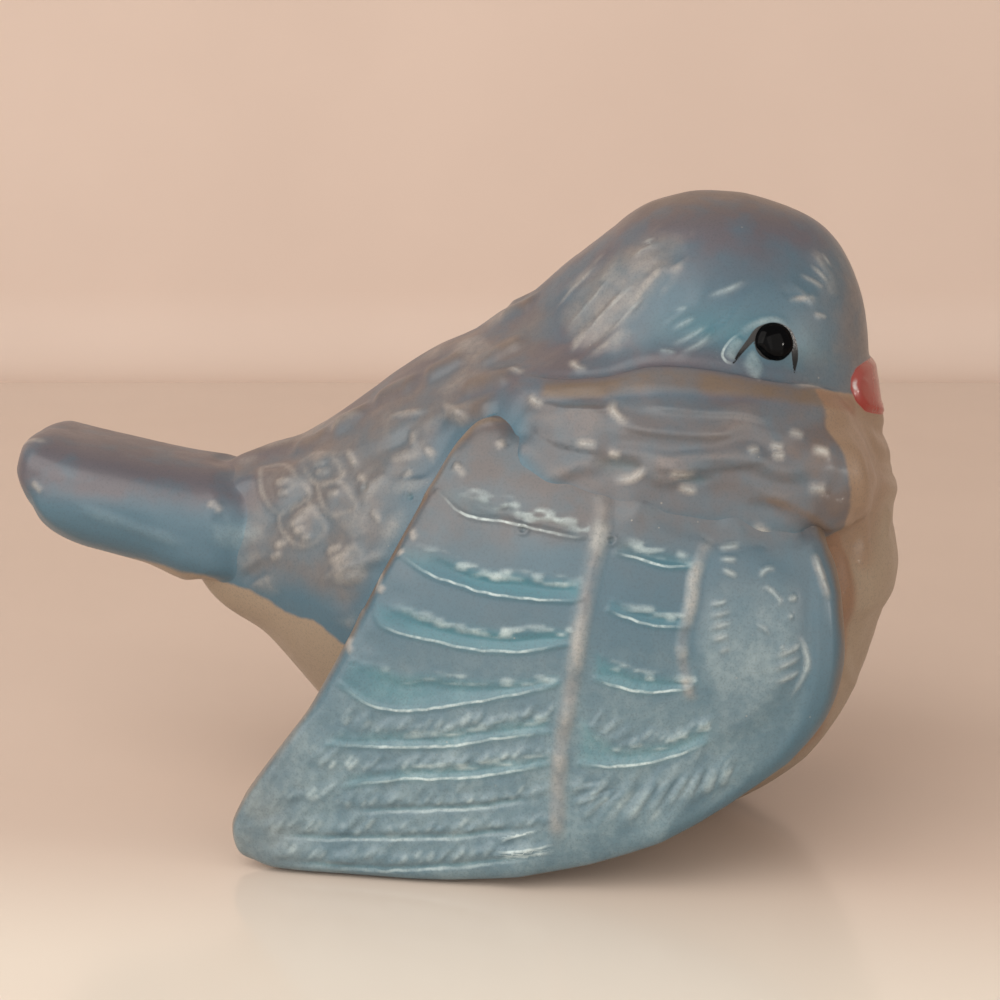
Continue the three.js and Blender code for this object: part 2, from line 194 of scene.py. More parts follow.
def clouds(u, v, seed):
    """Smooth random numbers over a plane, from -1 to 1, that change over about one unit."""
    grid = np.random.default_rng(seed).uniform(-1, 1, (CLOUD_SIDE, CLOUD_SIDE))
    left = np.floor(u).astype(int) % CLOUD_SIDE
    top = np.floor(v).astype(int) % CLOUD_SIDE
    right = (left + 1) % CLOUD_SIDE
    bottom = (top + 1) % CLOUD_SIDE
    across = smoothstep(0, 1, u - np.floor(u))
    down = smoothstep(0, 1, v - np.floor(v))
    upper = grid[top, left] * (1 - across) + grid[top, right] * across
    lower = grid[bottom, left] * (1 - across) + grid[bottom, right] * across
    return upper * (1 - down) + lower * down


def tapered(share, first, last=None):
    """1 along a line, fading to 0 over a share of its length at each end, or 1 throughout if that is 0."""
    if first == 0:
        return 1.0
    return smoothstep(0, first, share) * smoothstep(0, last or first, 1 - share)


def curve(points):
    """More points on a smooth curve through the given ones."""
    points = np.array(points, float)
    ends = np.vstack([2 * points[0] - points[1], points, 2 * points[-1] - points[-2]])
    shares = np.linspace(0, 1, CURVE_STEPS, endpoint=False)[:, None]
    found = []
    for a, b, c, d in zip(ends, ends[1:], ends[2:], ends[3:]):
        found.append(
            b + (c - a) * shares / 2
            + (a - 2.5 * b + 2 * c - d / 2) * shares ** 2
            + (1.5 * b - a / 2 - 1.5 * c + d / 2) * shares ** 3
        )
    return np.vstack([*found, points[-1]])


def run_along(line):
    """How far along a line each of its points lies."""
    return np.concatenate([[0], np.cumsum(np.linalg.norm(np.diff(line, axis=0), axis=1))])


def to_line(points, line):
    """Each point's distance to a line, the share of the line that it lies at, and the offset from it."""
    steps = np.diff(line, axis=0)
    starts = run_along(line)
    lengths = np.diff(starts)
    nearest = np.full(len(points), np.inf)
    share = np.zeros(len(points))
    turn = np.zeros(len(points))
    for start, step, length, before in zip(line, steps, lengths, starts):
        if length == 0:
            continue
        away = points - start
        along = np.clip(away @ step / length ** 2, 0, 1)
        away = away - along[:, None] * step
        distance = np.sqrt((away ** 2).sum(1))
        closer = distance < nearest
        nearest[closer] = distance[closer]
        share[closer] = (before + along[closer] * length) / starts[-1]
        if points.shape[1] == 2:
            turn[closer] = (away[closer, 1] * step[0] - away[closer, 0] * step[1]) / length
    return nearest, share, turn


def inside_by(places, outline):
    """How far inside an outline of pixels each place is, negative outside."""
    x, y = places.T
    inside = np.zeros(len(places), bool)
    closed = np.vstack([outline, outline[:1]])
    for (ax, ay), (bx, by) in zip(closed, closed[1:]):
        if ay == by:
            continue
        crosses = (ay > y) != (by > y)
        inside ^= crosses & (x < ax + (y - ay) / (by - ay) * (bx - ax))
    distance = to_line(places, closed)[0]
    return np.where(inside, distance, -distance)


# Skins: smooth copies of the frame's solids

def vertex_array(mesh, field="co"):
    found = np.empty(len(mesh.vertices) * 3)
    mesh.vertices.foreach_get(field, found)
    return found.reshape(-1, 3)


def put_points(mesh, points):
    mesh.vertices.foreach_set("co", points.ravel())
    mesh.update()


def new_piece(name, mesh):
    piece = bpy.data.objects.new(name, mesh)
    bpy.context.scene.collection.objects.link(piece)
    return piece


def copy_of(node, name):
    """A piece with the mesh of a node of the frame, its points joined where its faces meet."""
    mesh = frame["nodes"][node].data.copy()
    mesh.materials.clear()
    work = bmesh.new()
    work.from_mesh(mesh)
    bmesh.ops.remove_doubles(work, verts=work.verts, dist=WELD_DISTANCE)
    work.to_mesh(mesh)
    work.free()
    for attribute in [a.name for a in mesh.attributes if a.name.startswith(("UV", "custom"))]:
        mesh.attributes.remove(mesh.attributes[attribute])
    return new_piece(name, mesh)


def apply_modifiers(piece):
    depsgraph = bpy.context.evaluated_depsgraph_get()
    mesh = bpy.data.meshes.new_from_object(piece.evaluated_get(depsgraph))
    piece.modifiers.clear()
    piece.data = mesh


def remesh(piece, grain):
    modifier = piece.modifiers.new("clay", "REMESH")
    modifier.mode = "VOXEL"
    modifier.voxel_size = grain
    apply_modifiers(piece)


def relax(mesh, passes):
    """Draws each point towards the middle of its neighbours, which takes facets and tool marks away."""
    points = vertex_array(mesh)
    ends = np.empty(len(mesh.edges) * 2, np.int64)
    mesh.edges.foreach_get("vertices", ends)
    a, b = ends.reshape(-1, 2).T
    count = len(points)
    valence = np.bincount(ends, minlength=count)[:, None]
    for _ in range(passes):
        total = np.column_stack([
            np.bincount(a, points[b, i], count) + np.bincount(b, points[a, i], count) for i in range(3)
        ])
        points += (total / valence - points) / 2
    put_points(mesh, points)


def tree_of(mesh):
    mesh.calc_loop_triangles()
    triangles = [tuple(t.vertices) for t in mesh.loop_triangles]
    return BVHTree.FromPolygons([v.co for v in mesh.vertices], triangles)


def sink_seat(piece, tree, way, reach=1.0):
    """Lets the seat of a piece run on into the body, so that smoothing doesn't round the joint. In mm."""
    points = vertex_array(piece.data)
    seated = [tree.find_nearest(Vector(point), reach * MM)[0] is not None for point in points]
    points[seated] += np.array(way) * MM
    put_points(piece.data, points)


class Skin:
    """The relief, the glazes and the painted light of one piece while it is worked on, and where its points
    are.
    """

    def __init__(self, piece, tree=None):
        self.piece = piece
        self.tree = tree or tree_of(piece.data)
        self.points = vertex_array(piece.data)
        self.normals = vertex_array(piece.data, "normal")
        self.pixels = photo_place(self.points)
        flip = np.where(self.points[:, 1:2] > 0, (1, -1, 1), 1)
        self.near = self.points * flip
        self.toward = -((self.normals * flip) @ sight)
        self.facing = smoothstep(*FACING, self.toward)
        self.height = np.zeros(len(self.points))
        self.masks = {name: np.zeros(len(self.points)) for name in SPRAYED}
        self.masks.update({name: np.full(len(self.points), FAR_OUTSIDE) for name in BRUSHED})

    def spray(self, shape, **glazes):
        """Glazes, and painted light laid on like them, over a shape that runs from 0 to 1. Where one is
        sprayed twice, the denser coat holds.
        """
        for name, amount in glazes.items():
            self.masks[name] = np.clip(np.maximum(self.masks[name], amount * shape), 0, 1)

    def along(self, pixels, reach):
        """The points near a curve cast onto the skin, their distance in mm and the curve's share there."""
        line = cast(self.tree, curve(pixels))
        low = line.min(0) - reach * MM
        high = line.max(0) + reach * MM
        close = np.flatnonzero(((self.near > low) & (self.near < high)).all(1))
        distance, share, _ = to_line(self.near[close], line)
        return close, distance / MM, share

    def stroke(self, pixels, width, rise, taper=0.25, **glazes):
        """A ridge, or a groove where rise is negative, with glazes in it. Width and rise are in mm."""
        close, distance, share = self.along(pixels, width)
        shape = bell(distance, width / 2) * tapered(share, taper)
        self.height[close] += rise * shape
        for name, amount in glazes.items():
            self.masks[name][close] = np.maximum(self.masks[name][close], amount * shape)

    def glint(self, pixels, strength, taper):
        """A painted highlight along a thin crest: how far each point is from the crest, and how bright the
        highlight is.
        """
        line = curve(pixels)
        margin = 2 * CREST_REACH * PIXELS_PER_MM
        near = (self.pixels > line.min(0) - margin) & (self.pixels < line.max(0) + margin)
        close = np.flatnonzero(near.all(1))
        distance, share, turn = to_line(self.pixels[close], line)
        offset = np.where(turn < 0, -distance, distance) / PIXELS_PER_MM
        sheen = smoothstep(*CREST_FADE, np.abs(offset)) * self.facing[close]
        shine = strength * sheen * tapered(share, taper)
        nearest = np.minimum(np.abs(self.masks["crest"][close]), CREST_REACH)
        closer = np.abs(offset) < nearest
        self.masks["crest"][close[closer]] = offset[closer]
        self.masks["shine"][close[closer]] = shine[closer]

    def marks(self, lines, shine=0.0, shine_taper=0.45, **mark):
        """The same stroke along each of several curves, with a painted highlight along the crest of each if
        one is asked for.
        """
        for line in lines:
            self.stroke(line, **mark)
            if shine:
                self.glint(line, shine, shine_taper)

    def ledge(self, pixels, rise, fade, edge, taper):
        """A step up below a curve that runs left to right, which fades out over a distance below it."""
        distance, share, turn = to_line(self.pixels, curve(pixels))
        below = turn / PIXELS_PER_MM
        shape = smoothstep(-edge, edge, below) * np.clip(1 - below / fade, 0, 1) ** 2
        near = (distance / PIXELS_PER_MM < fade) * tapered(share, taper)
        self.height += rise * shape * near * self.facing

    def eave(self, pixels, rise, run, edge, taper):
        """The free edge of a feather: it rises over a distance down to a curve, then drops away sharply.
        The curve runs left to right, and the feather lies above it."""
        distance, share, turn = to_line(self.pixels, curve(pixels))
        above = -turn / PIXELS_PER_MM
        shape = smoothstep(-edge, edge, above) * np.clip(1 - above / run, 0, 1) ** FEATHER_CURL
        near = (distance / PIXELS_PER_MM < run) * tapered(share, taper)
        self.height += rise * shape * near * self.facing

    def comb(self, outline, slant, width, length, rise, seed, **glazes):
        """Uneven strokes of a modelling tool that run one way over a patch. Slant is in degrees up."""
        turn = math.radians(slant)
        x, y = self.pixels.T / PIXELS_PER_MM
        bend = COMB_BEND * clouds(x / COMB_WAVE, y / COMB_WAVE, seed + 1)
        along = x * math.cos(turn) - y * math.sin(turn)
        across = x * math.sin(turn) + y * math.cos(turn) + bend
        grain = clouds(across / width, along / length, seed)
        patch = smoothstep(-COMB_EDGE, COMB_EDGE, self.region(outline)) * self.facing
        self.height += rise * grain * patch
        # what is given lands on the raised tops of the strokes; a pale or pinkish one there is a painted
        # highlight
        self.spray(smoothstep(*COMB_TOPS, grain) * patch, **glazes)

    def region(self, outline):
        """How far each point lies inside an outline of pixels, in mm, negative outside."""
        return inside_by(self.pixels, np.array(outline, float)) / PIXELS_PER_MM

    def patch(self, outline, soft, rise=0.0, **glazes):
        """A raised or sunk patch inside an outline of pixels, with an edge soft millimetres wide."""
        shape = smoothstep(0, soft, self.region(curve([*outline, outline[0]]))) * self.facing
        self.height += rise * shape
        self.spray(shape, **glazes)

    def finish(self):
        """Puts the relief, the glazes and the painted light on the piece."""
        put_points(self.piece.data, self.points + self.normals * (self.height * MM)[:, None])
        relax(self.piece.data, LAST_PASSES)
        for name, values in self.masks.items():
            attribute = self.piece.data.attributes.new(name, "FLOAT", "POINT")
            attribute.data.foreach_set("value", values.astype(np.float32))
        for polygon in self.piece.data.polygons:
            polygon.use_smooth = True


# The body: an outer skin with the hollow of the casting cut back into it

drain_low, drain_high = next(
    np.array(opening["box_m"]) for opening in frame["record"]["physics"]["openings"]
    if opening["name"] == "drain_hole"
)
drain_middle = (drain_low + drain_high)[:2] / 2
DRAIN_RADIUS = 6 * MM
DRAIN_SEARCH = 1.02 * DRAIN_RADIUS
HOLLOW_END = -2 * MM

# What relaxing draws in is put back above the foot, and what lies lowest is pressed flat
FOOT_TOP = 1 * MM
FOOT_FLAT = 0.3 * MM
SKIN_GAIN = 0.25 * MM


def island(start):
    """The vertices joined to one vertex by edges."""
    found = {start}
    waiting = [start]
    while waiting:
        for edge in waiting.pop().link_edges:
            for vertex in edge.verts:
                if vertex not in found:
                    found.add(vertex)
                    waiting.append(vertex)
    return found


def open_edges(work):
    return [edge for edge in work.edges if edge.is_boundary]


def split_shell(shell):
    """Parts the casting at its drain hole into its closed outer skin and a piece that fills its hollow."""
    work = bmesh.new()
    work.from_mesh(shell.data)
    tube = [
        face for face in work.faces
        if all(np.linalg.norm(np.array(v.co)[:2] - drain_middle) < DRAIN_SEARCH for v in face.verts)
    ]
    bmesh.ops.delete(work, geom=tube, context="FACES")
    outside = island(max(work.verts, key=lambda vertex: vertex.co.z))
    inside_numbers = {vertex.index for vertex in work.verts if vertex not in outside}
    inner = work.copy()
    inner.verts.ensure_lookup_table()
    bmesh.ops.delete(inner, geom=[v for v in inner.verts if v.index not in inside_numbers], context="VERTS")
    bmesh.ops.delete(work, geom=[v for v in work.verts if v not in outside], context="VERTS")
    bmesh.ops.holes_fill(work, edges=open_edges(work), sides=0)
    extruded = bmesh.ops.extrude_edge_only(inner, edges=open_edges(inner))["geom"]
    for vertex in extruded:
        if isinstance(vertex, bmesh.types.BMVert):
            vertex.co.z = HOLLOW_END
    bmesh.ops.holes_fill(inner, edges=open_edges(inner), sides=0)
    bmesh.ops.recalc_face_normals(inner, faces=inner.faces)
    work.to_mesh(shell.data)
    hollow = new_piece("hollow", bpy.data.meshes.new("hollow"))
    inner.to_mesh(hollow.data)
    work.free()
    inner.free()
    return hollow


def make_body():
    """The whole casting, smoothed, with its hollow cut back into it."""
    body = copy_of("body_shell", "body_casting")
    hollow = split_shell(body)
    remesh(body, BODY_GRAIN)
    relax(body.data, BODY_PASSES)
    points = vertex_array(body.data)
    normals = vertex_array(body.data, "normal")
    points += normals * (points[:, 2:] > FOOT_TOP) * SKIN_GAIN
    points[:, 2] = np.where(points[:, 2] < FOOT_FLAT, 0, points[:, 2])
    put_points(body.data, points)
    tree = tree_of(body.data)
    cut = body.modifiers.new("hollow", "BOOLEAN")
    cut.object = hollow
    cut.operation = "DIFFERENCE"
    cut.solver = "MANIFOLD"
    apply_modifiers(body)
    bpy.data.objects.remove(hollow)
    return Skin(body, tree)


# The cape: the shoulder feathers that the head is tucked into, and their carving

CAPE_EDGE = [(512, 368), (545, 377), (600, 375), (651, 367), (708, 372), (761, 383), (823, 391), (852, 393)]
WING_TOP = [
    (500, 438), (535, 463), (575, 484), (612, 496), (650, 506), (700, 514), (750, 518), (790, 519),
    (812, 524),
]
CAPE_PATCH = [
    (515, 385), (560, 392), (650, 388), (760, 398), (845, 405), (842, 470), (838, 535), (790, 528),
    (700, 522), (640, 512), (575, 492), (525, 456),
]
CAPE_BAND = [
    (540, 378), (600, 374), (651, 366), (708, 371), (761, 382), (823, 390), (850, 395), (850, 428),
    (800, 417), (740, 405), (650, 396), (600, 402), (540, 402),
]
CAPE_FRONT = [(745, 398), (800, 402), (880, 402), (880, 565), (836, 565), (800, 500), (765, 450)]
SHOULDER_RIM = [(728, 500), (750, 496), (775, 500), (800, 508), (822, 524), (838, 548)]
CAPE_EAVES = [
    [(528, 404), (560, 410), (606, 412), (616, 396)],
    [(612, 424), (650, 434), (700, 438), (740, 436)],
    [(528, 427), (552, 441), (580, 451), (612, 452)],
    [(648, 470), (690, 471), (735, 468), (772, 462)],
    [(640, 408), (690, 414), (740, 418), (770, 426)],
]
CAPE_POCKETS = [
    [(588, 456), (612, 453), (638, 457), (646, 470), (632, 478), (600, 474)],
    [(668, 474), (695, 472), (716, 478), (703, 489), (682, 486)],
    [(554, 402), (580, 400), (604, 402), (604, 409), (575, 411), (556, 408)],
]
CAPE_GLINTS = [
    [(508, 366), (524, 372)], [(528, 394), (536, 402), (546, 404)],
    [(568, 354), (576, 362), (588, 364)], [(607, 452), (622, 457)],
    [(612, 478), (630, 478), (642, 472), (645, 462)], [(664, 472), (680, 474), (700, 474)],
    [(676, 486), (690, 490), (700, 491)], [(616, 396), (612, 408), (622, 420), (632, 422)],
    [(785, 433), (803, 437)], [(768, 444), (784, 449)], [(769, 455), (786, 456)],
    [(806, 450), (826, 456)], [(803, 486), (822, 487)], [(745, 452), (760, 448)],
    [(786, 392), (800, 389), (822, 390)], [(573, 441), (588, 444), (600, 446)],
    [(746, 519), (760, 522), (775, 532)],
]


def depth_of(points):
    """How far ahead of the lens points are, in mm."""
    return (points - lens_place) @ sight / MM


# How the cape is drawn out to the wing's face, in mm: where below the seam that face is looked for, how far
# the cape stands before it, where it dives behind it, and how far above and below the seam it is drawn out.
# Its ends are shares of the seam, and a steep skin is drawn out by at least the steepest one's share.
FACE_DROPS = (3.2, 6.4)
CAPE_PROUD = 0.15
CAPE_DIVE = (1.8, 4.2)
CAPE_BELOW = (4.8, 3.8)
CAPE_ABOVE = 9
CAPE_ENDS = (0.12, 0.08)
CAPE_MOST = 5.5
STEEPEST = 0.3


def meet_wing(body, wing_tree):
    """Swells the cape out to the wing's face and on a little way under it, so that no step shows there."""
    line = curve(WING_TOP)
    run = run_along(line)
    distance, share, turn = to_line(body.pixels, line)
    distance = distance / PIXELS_PER_MM
    below = np.where(turn < 0, -distance, distance)
    upper, lower = (
        np.interp(share, run / run[-1], depth_of(cast(wing_tree, line + (0, drop * PIXELS_PER_MM))))
        for drop in FACE_DROPS
    )
    face = upper + (lower - upper) * np.clip((below - FACE_DROPS[0]) / (FACE_DROPS[1] - FACE_DROPS[0]), 0, 1)
    under = CAPE_PROUD * (2 * smoothstep(*CAPE_DIVE, below) - 1)
    short = np.clip(depth_of(body.near) - face - under, 0, CAPE_MOST)
    near = np.where(below < 0, bell(distance, CAPE_ABOVE), smoothstep(*CAPE_BELOW, below))
    near *= tapered(share, *CAPE_ENDS)
    body.height += short * near * body.facing * np.maximum(body.toward, STEEPEST)


HEAD_CREASE_LIFT = 5
HEAD_CREASE = dict(width=3.5, rise=-0.4, teal=0.3)
CAPE_STEP = dict(rise=0.9, fade=8, edge=0.5, taper=0.12)
CAPE_BAND_GLAZE = dict(soft=2.0, rise=0.15, brown=0.8, mauve=0.6)
CAPE_GLAZE = dict(soft=3.0, mauve=0.55, brown=0.3)
CAPE_FRONT_GLAZE = dict(soft=4.0, mauve=0.8, brown=0.45)
# The pinkish on the comb's raised tops is a painted sheen.
CAPE_COMB = dict(slant=-4, width=2.8, length=9, rise=0.5, seed=4, mauve=0.8, blush=0.12)
# The brown and mauve along the shoulder's rim are painted shade where the cape meets the wing's top.
SHOULDER_RIM_MARK = dict(width=3.0, rise=0.25, taper=0.3, brown=0.6, mauve=0.9)
CAPE_FEATHER = dict(rise=0.6, run=3.5, edge=0.35, taper=0.2)
CAPE_POCKET = dict(soft=2.0, rise=-0.6, teal=0.95)
# A cape dab is a painted pinkish sheen, with a faint painted highlight along it.
CAPE_DAB = dict(width=2.4, rise=0.2, taper=0.35, blush=0.75, shine=0.1)


def model_cape(body, wing_tree):
    body.ledge(CAPE_EDGE, **CAPE_STEP)
    body.stroke([(x, y - HEAD_CREASE_LIFT) for x, y in CAPE_EDGE], **HEAD_CREASE)
    body.patch(CAPE_BAND, **CAPE_BAND_GLAZE)
    body.patch(CAPE_PATCH, **CAPE_GLAZE)
    body.patch(CAPE_FRONT, **CAPE_FRONT_GLAZE)
    body.comb(CAPE_PATCH, **CAPE_COMB)
    meet_wing(body, wing_tree)
    body.stroke(SHOULDER_RIM, **SHOULDER_RIM_MARK)
    for line in CAPE_EAVES:
        body.eave(line, **CAPE_FEATHER)
    for outline in CAPE_POCKETS:
        body.patch(outline, **CAPE_POCKET)
    body.marks(CAPE_GLINTS, **CAPE_DAB)


# The back: rows of scale feathers, each a rounded outline with dashes inside it

SCALE_OUTLINES = [
    [(262, 468), (285, 465), (300, 480), (308, 490), (305, 501), (280, 513), (265, 500), (260, 484)],
    [(280, 514), (305, 500), (315, 512), (325, 527), (316, 541), (298, 545), (284, 532), (279, 520)],
    [(303, 461), (320, 454), (335, 460), (343, 474), (336, 482), (318, 484), (308, 474)],
    [(318, 488), (340, 482), (352, 496), (355, 510), (332, 515), (322, 502)],
]
SCALE_DASHES = [
    [(272, 485), (295, 480)], [(275, 494), (295, 492)], [(290, 526), (305, 520)], [(292, 533), (310, 528)],
    [(300, 541), (315, 535)], [(312, 466), (330, 464)], [(314, 474), (334, 471)], [(326, 497), (344, 492)],
    [(345, 447), (352, 458), (358, 470)], [(355, 472), (370, 486)], [(370, 508), (384, 524)],
    [(383, 419), (410, 413), (434, 410)], [(440, 403), (458, 412), (473, 424)], [(412, 427), (414, 451)],
    [(424, 445), (436, 459)], [(322, 553), (345, 545)], [(324, 563), (352, 553)], [(330, 573), (360, 562)],
    [(340, 583), (364, 574)], [(272, 548), (290, 540)], [(268, 560), (284, 552)], [(400, 478), (414, 470)],
]
BACK_PALES = [
    [(326, 562), (345, 540), (362, 540), (372, 562), (364, 586), (332, 588)],
    [(436, 404), (444, 396), (456, 404), (470, 420), (462, 430), (446, 420)],
    [(418, 432), (424, 436), (436, 452), (434, 466), (422, 456)],
]
BACK_LUMPS = [
    [(470, 372), (500, 352), (530, 332)], [(455, 392), (490, 380), (520, 372)],
    [(420, 378), (445, 366), (470, 352)], [(370, 400), (395, 388), (420, 380)],
    [(330, 430), (352, 417), (372, 404)], [(440, 420), (470, 412), (500, 402)],
    [(500, 318), (520, 306), (536, 298)], [(290, 448), (315, 440), (335, 428)],
]
BODY_PINHOLES = [(410, 497), (366, 488)]
BACK_PATCH = [
    (240, 455), (330, 410), (400, 370), (500, 310), (550, 280), (562, 340), (520, 385), (470, 415),
    (430, 470), (390, 560), (350, 625), (300, 600), (230, 580),
]


# The pinkish on the back is a painted sheen: on the comb's tops, over the patch, along the scale outlines
# and dashes, and in the pale patches.
BACK_COMB = dict(slant=24, width=2.6, length=6.5, rise=0.45, seed=9, blush=0.4)
BACK_GLAZE = dict(soft=6.0, mauve=0.45, brown=0.3, blush=0.12)
SCALE = dict(soft=1.2, rise=0.35)
SCALE_RIM = dict(width=2.2, rise=0.2, taper=0, blush=0.42)
SCALE_DASH = dict(width=2.4, rise=0.3, taper=0.4, blush=0.65)
BACK_PALE = dict(soft=2.0, rise=0.2, blush=0.55)
BACK_LUMP = dict(width=7, rise=0.8, mauve=0.7, brown=0.5)

# A pinhole, in mm
PIT_RADIUS = 0.8
PIT_DEPTH = 0.4
PIT_RIM_RADIUS = 0.9
PIT_RIM_HALF = 0.5
PIT_RIM_RISE = 0.22
PIT_STAIN_RADIUS = 1.0


def pinhole(skin, spot):
    """A burst bubble in the glaze: a small pit with a raised rim."""
    distance = np.linalg.norm(skin.pixels - spot, axis=1) / PIXELS_PER_MM
    rim = PIT_RIM_RISE * bell(distance - PIT_RIM_RADIUS, PIT_RIM_HALF)
    skin.height += (rim - PIT_DEPTH * bell(distance, PIT_RADIUS)) * skin.facing
    skin.spray(bell(distance, PIT_STAIN_RADIUS) * skin.facing, teal=0.8)


def model_back(body):
    body.comb(BACK_PATCH, **BACK_COMB)
    body.patch(BACK_PATCH, **BACK_GLAZE)
    for outline in SCALE_OUTLINES:
        body.patch(outline, **SCALE)
        body.stroke(outline + outline[:1], **SCALE_RIM)
    body.marks(SCALE_DASHES, **SCALE_DASH)
    for outline in BACK_PALES:
        body.patch(outline, **BACK_PALE)
    body.marks(BACK_LUMPS, **BACK_LUMP)
    for spot in BODY_PINHOLES:
        pinhole(body, spot)


# The head and the face

NAPE_STREAKS = [
    [(562, 330), (590, 300), (618, 268)], [(580, 338), (606, 310), (634, 280)],
    [(600, 340), (628, 314), (655, 286)], [(552, 310), (575, 285), (600, 258)],
    [(640, 243), (657, 237)], [(625, 262), (645, 248), (668, 240)],
    [(596, 322), (616, 302), (640, 280)],
]
CHEEK_STREAKS = [
    [(671, 331), (697, 316)], [(669, 345), (690, 336), (712, 323)], [(681, 354), (700, 344), (714, 331)],
    [(657, 349), (678, 353)], [(674, 311), (690, 306)], [(705, 297), (727, 290), (747, 280)],
]
FOREHEAD_STREAKS = [
    [(798, 274), (812, 280), (826, 290)], [(809, 263), (821, 274), (831, 287)], [(819, 252), (833, 269)],
    [(786, 301), (803, 298), (821, 299)], [(812, 313), (829, 318)],
]
NAPE_PATCH = [
    (548, 318), (570, 285), (600, 250), (650, 225), (690, 235), (680, 270), (650, 310), (615, 345),
    (575, 350),
]
CHEEK_PATCH = [
    (655, 352), (660, 318), (690, 292), (735, 278), (752, 290), (728, 325), (708, 345), (685, 358),
]
FOREHEAD_PATCH = [(785, 292), (800, 262), (822, 250), (838, 272), (836, 296), (812, 302)]
EYE_MIDDLE = (772, 343)
EYE_RADIUS = 17.3
EYE_FLESH = [(740, 364), (747, 352), (754, 347), (761, 356), (765, 366), (762, 378), (756, 388), (748, 378)]
EYE_CRESCENT = [(738, 334), (730, 339), (724, 349), (724, 357), (735, 364), (741, 350), (746, 341)]
CRESCENT_RIM = [(741, 333), (735, 336), (727, 344), (722, 354), (726, 362), (735, 366)]
LID = [
    (733, 364), (740, 353), (750, 341), (759, 331), (774, 327), (787, 332), (793, 343), (795, 356),
    (794, 374),
]
EYE_RIM = [(738, 337), (747, 329), (758, 323), (770, 320), (782, 322), (791, 329)]
LID_WIDTHS = (0.3, 0.7, 1.0, 1.4, 1.5, 1.6, 1.5, 1.2, 0.15)
CORAL_OUTLINE = [
    (869, 358), (861, 363), (854, 368), (848, 378), (846, 390), (849, 402), (857, 412), (870, 415),
    (900, 416), (900, 358),
]
BILL_STREAKS = [[(864, 362), (869, 368), (874, 378), (878, 387)], [(852, 375), (857, 378), (861, 384)]]
BILL_GLINT = [(851, 378), (849, 385), (850, 392)]
CHEEK_OUTLINE = [
    (650, 300), (700, 290), (770, 300), (840, 330), (850, 380), (770, 380), (700, 370), (600, 372),
    (580, 350),
]


# The pinkish on the nape, forehead and their streaks is a painted sheen, and each streak on the head and
# cheek has a faint painted highlight along it.
NAPE_GLAZE = dict(soft=4.0, mauve=0.5, brown=0.25, blush=0.3)
NAPE_COMB = dict(slant=42, width=1.8, length=6, rise=0.3, seed=2, blush=0.6)
CHEEK_COMB = dict(slant=33, width=1.5, length=7, rise=0.3, seed=3, teal=0.3, pale=0.05)
CHEEK_GLAZE = dict(soft=9, teal=0.65)
CHEEK_STREAK = dict(width=1.6, rise=0.2, taper=0.4, pale=0.2, shine=0.1)
FOREHEAD_COMB = dict(slant=-48, width=1.1, length=6, rise=0.25, seed=5, blush=0.35)
HEAD_STREAK = dict(width=1.5, rise=0.15, taper=0.4, blush=0.5, shine=0.08)
BROW_FACING = (0.45, 0.95)
BROW_HEIGHTS = (75, 80)


def model_head(body):
    """The strokes on the nape, cheek and forehead, and the brow over the bill, whose mauve, brown and
    pinkish sheen are a painted warm reflection set by the way it faces.
    """
    body.patch(NAPE_PATCH, **NAPE_GLAZE)
    body.comb(NAPE_PATCH, **NAPE_COMB)
    body.comb(CHEEK_PATCH, **CHEEK_COMB)
    body.comb(FOREHEAD_PATCH, **FOREHEAD_COMB)
    body.marks(NAPE_STREAKS + FOREHEAD_STREAKS, **HEAD_STREAK)
    body.marks(CHEEK_STREAKS, **CHEEK_STREAK)
    body.patch(CHEEK_OUTLINE, **CHEEK_GLAZE)
    # painted warm reflection and sheen on the brow, by how it faces
    brow = smoothstep(*BROW_FACING, body.normals[:, 0]) * smoothstep(*BROW_HEIGHTS, body.points[:, 2] / MM)
    body.spray(brow, mauve=0.6, blush=0.15, brown=0.3)


CRESCENT_SWELL = dict(soft=1.0, rise=0.3, pale=0.2, teal=0.6)
# The crescent's rim gets a painted highlight.
CRESCENT_SHINE = dict(strength=0.5, taper=0.25)
EYE_FLESH_SWELL = dict(soft=1.2, rise=0.15, pale=0.4, teal=0.6)
EYE_RIM_MARK = dict(width=1.9, rise=0.2, taper=0.3, pale=0.3)
LID_REACH = 3


def model_eye_socket(body):
    """The flesh round the eye, the rim over it with a painted highlight along the crescent, and the black
    brushed under the bead and along its lid.
    """
    body.patch(EYE_CRESCENT, **CRESCENT_SWELL)
    body.glint(CRESCENT_RIM, **CRESCENT_SHINE)
    body.patch(EYE_FLESH, **EYE_FLESH_SWELL)
    body.stroke(EYE_RIM, **EYE_RIM_MARK)
    ink = body.masks["ink"]
    close, distance, share = body.along(LID, LID_REACH)
    width = np.interp(share, np.linspace(0, 1, len(LID_WIDTHS)), LID_WIDTHS)
    ink[close] = np.maximum(ink[close], width / 2 - distance)
    from_middle = np.linalg.norm(body.pixels - EYE_MIDDLE, axis=1)
    body.masks["ink"] = np.maximum(ink, (EYE_RADIUS - from_middle) / PIXELS_PER_MM)


BILL_ROOT = dict(soft=1.0, rise=0.8)
# The bill's streaks are a painted pinkish sheen, and its shine is a painted highlight at the root.
ROOT_STREAK = dict(width=1.6, rise=0.1, taper=0.4, blush=0.25)
BILL_SHINE = dict(strength=0.7, taper=0.4)


def model_face(body):
    """The raised root of the bill, its two streaks of painted sheen, and a painted highlight at its root."""
    body.patch(CORAL_OUTLINE, **BILL_ROOT)
    body.masks["coral"] = body.region(CORAL_OUTLINE)
    body.marks(BILL_STREAKS, **ROOT_STREAK)
    body.glint(BILL_GLINT, **BILL_SHINE)


# The breast and belly

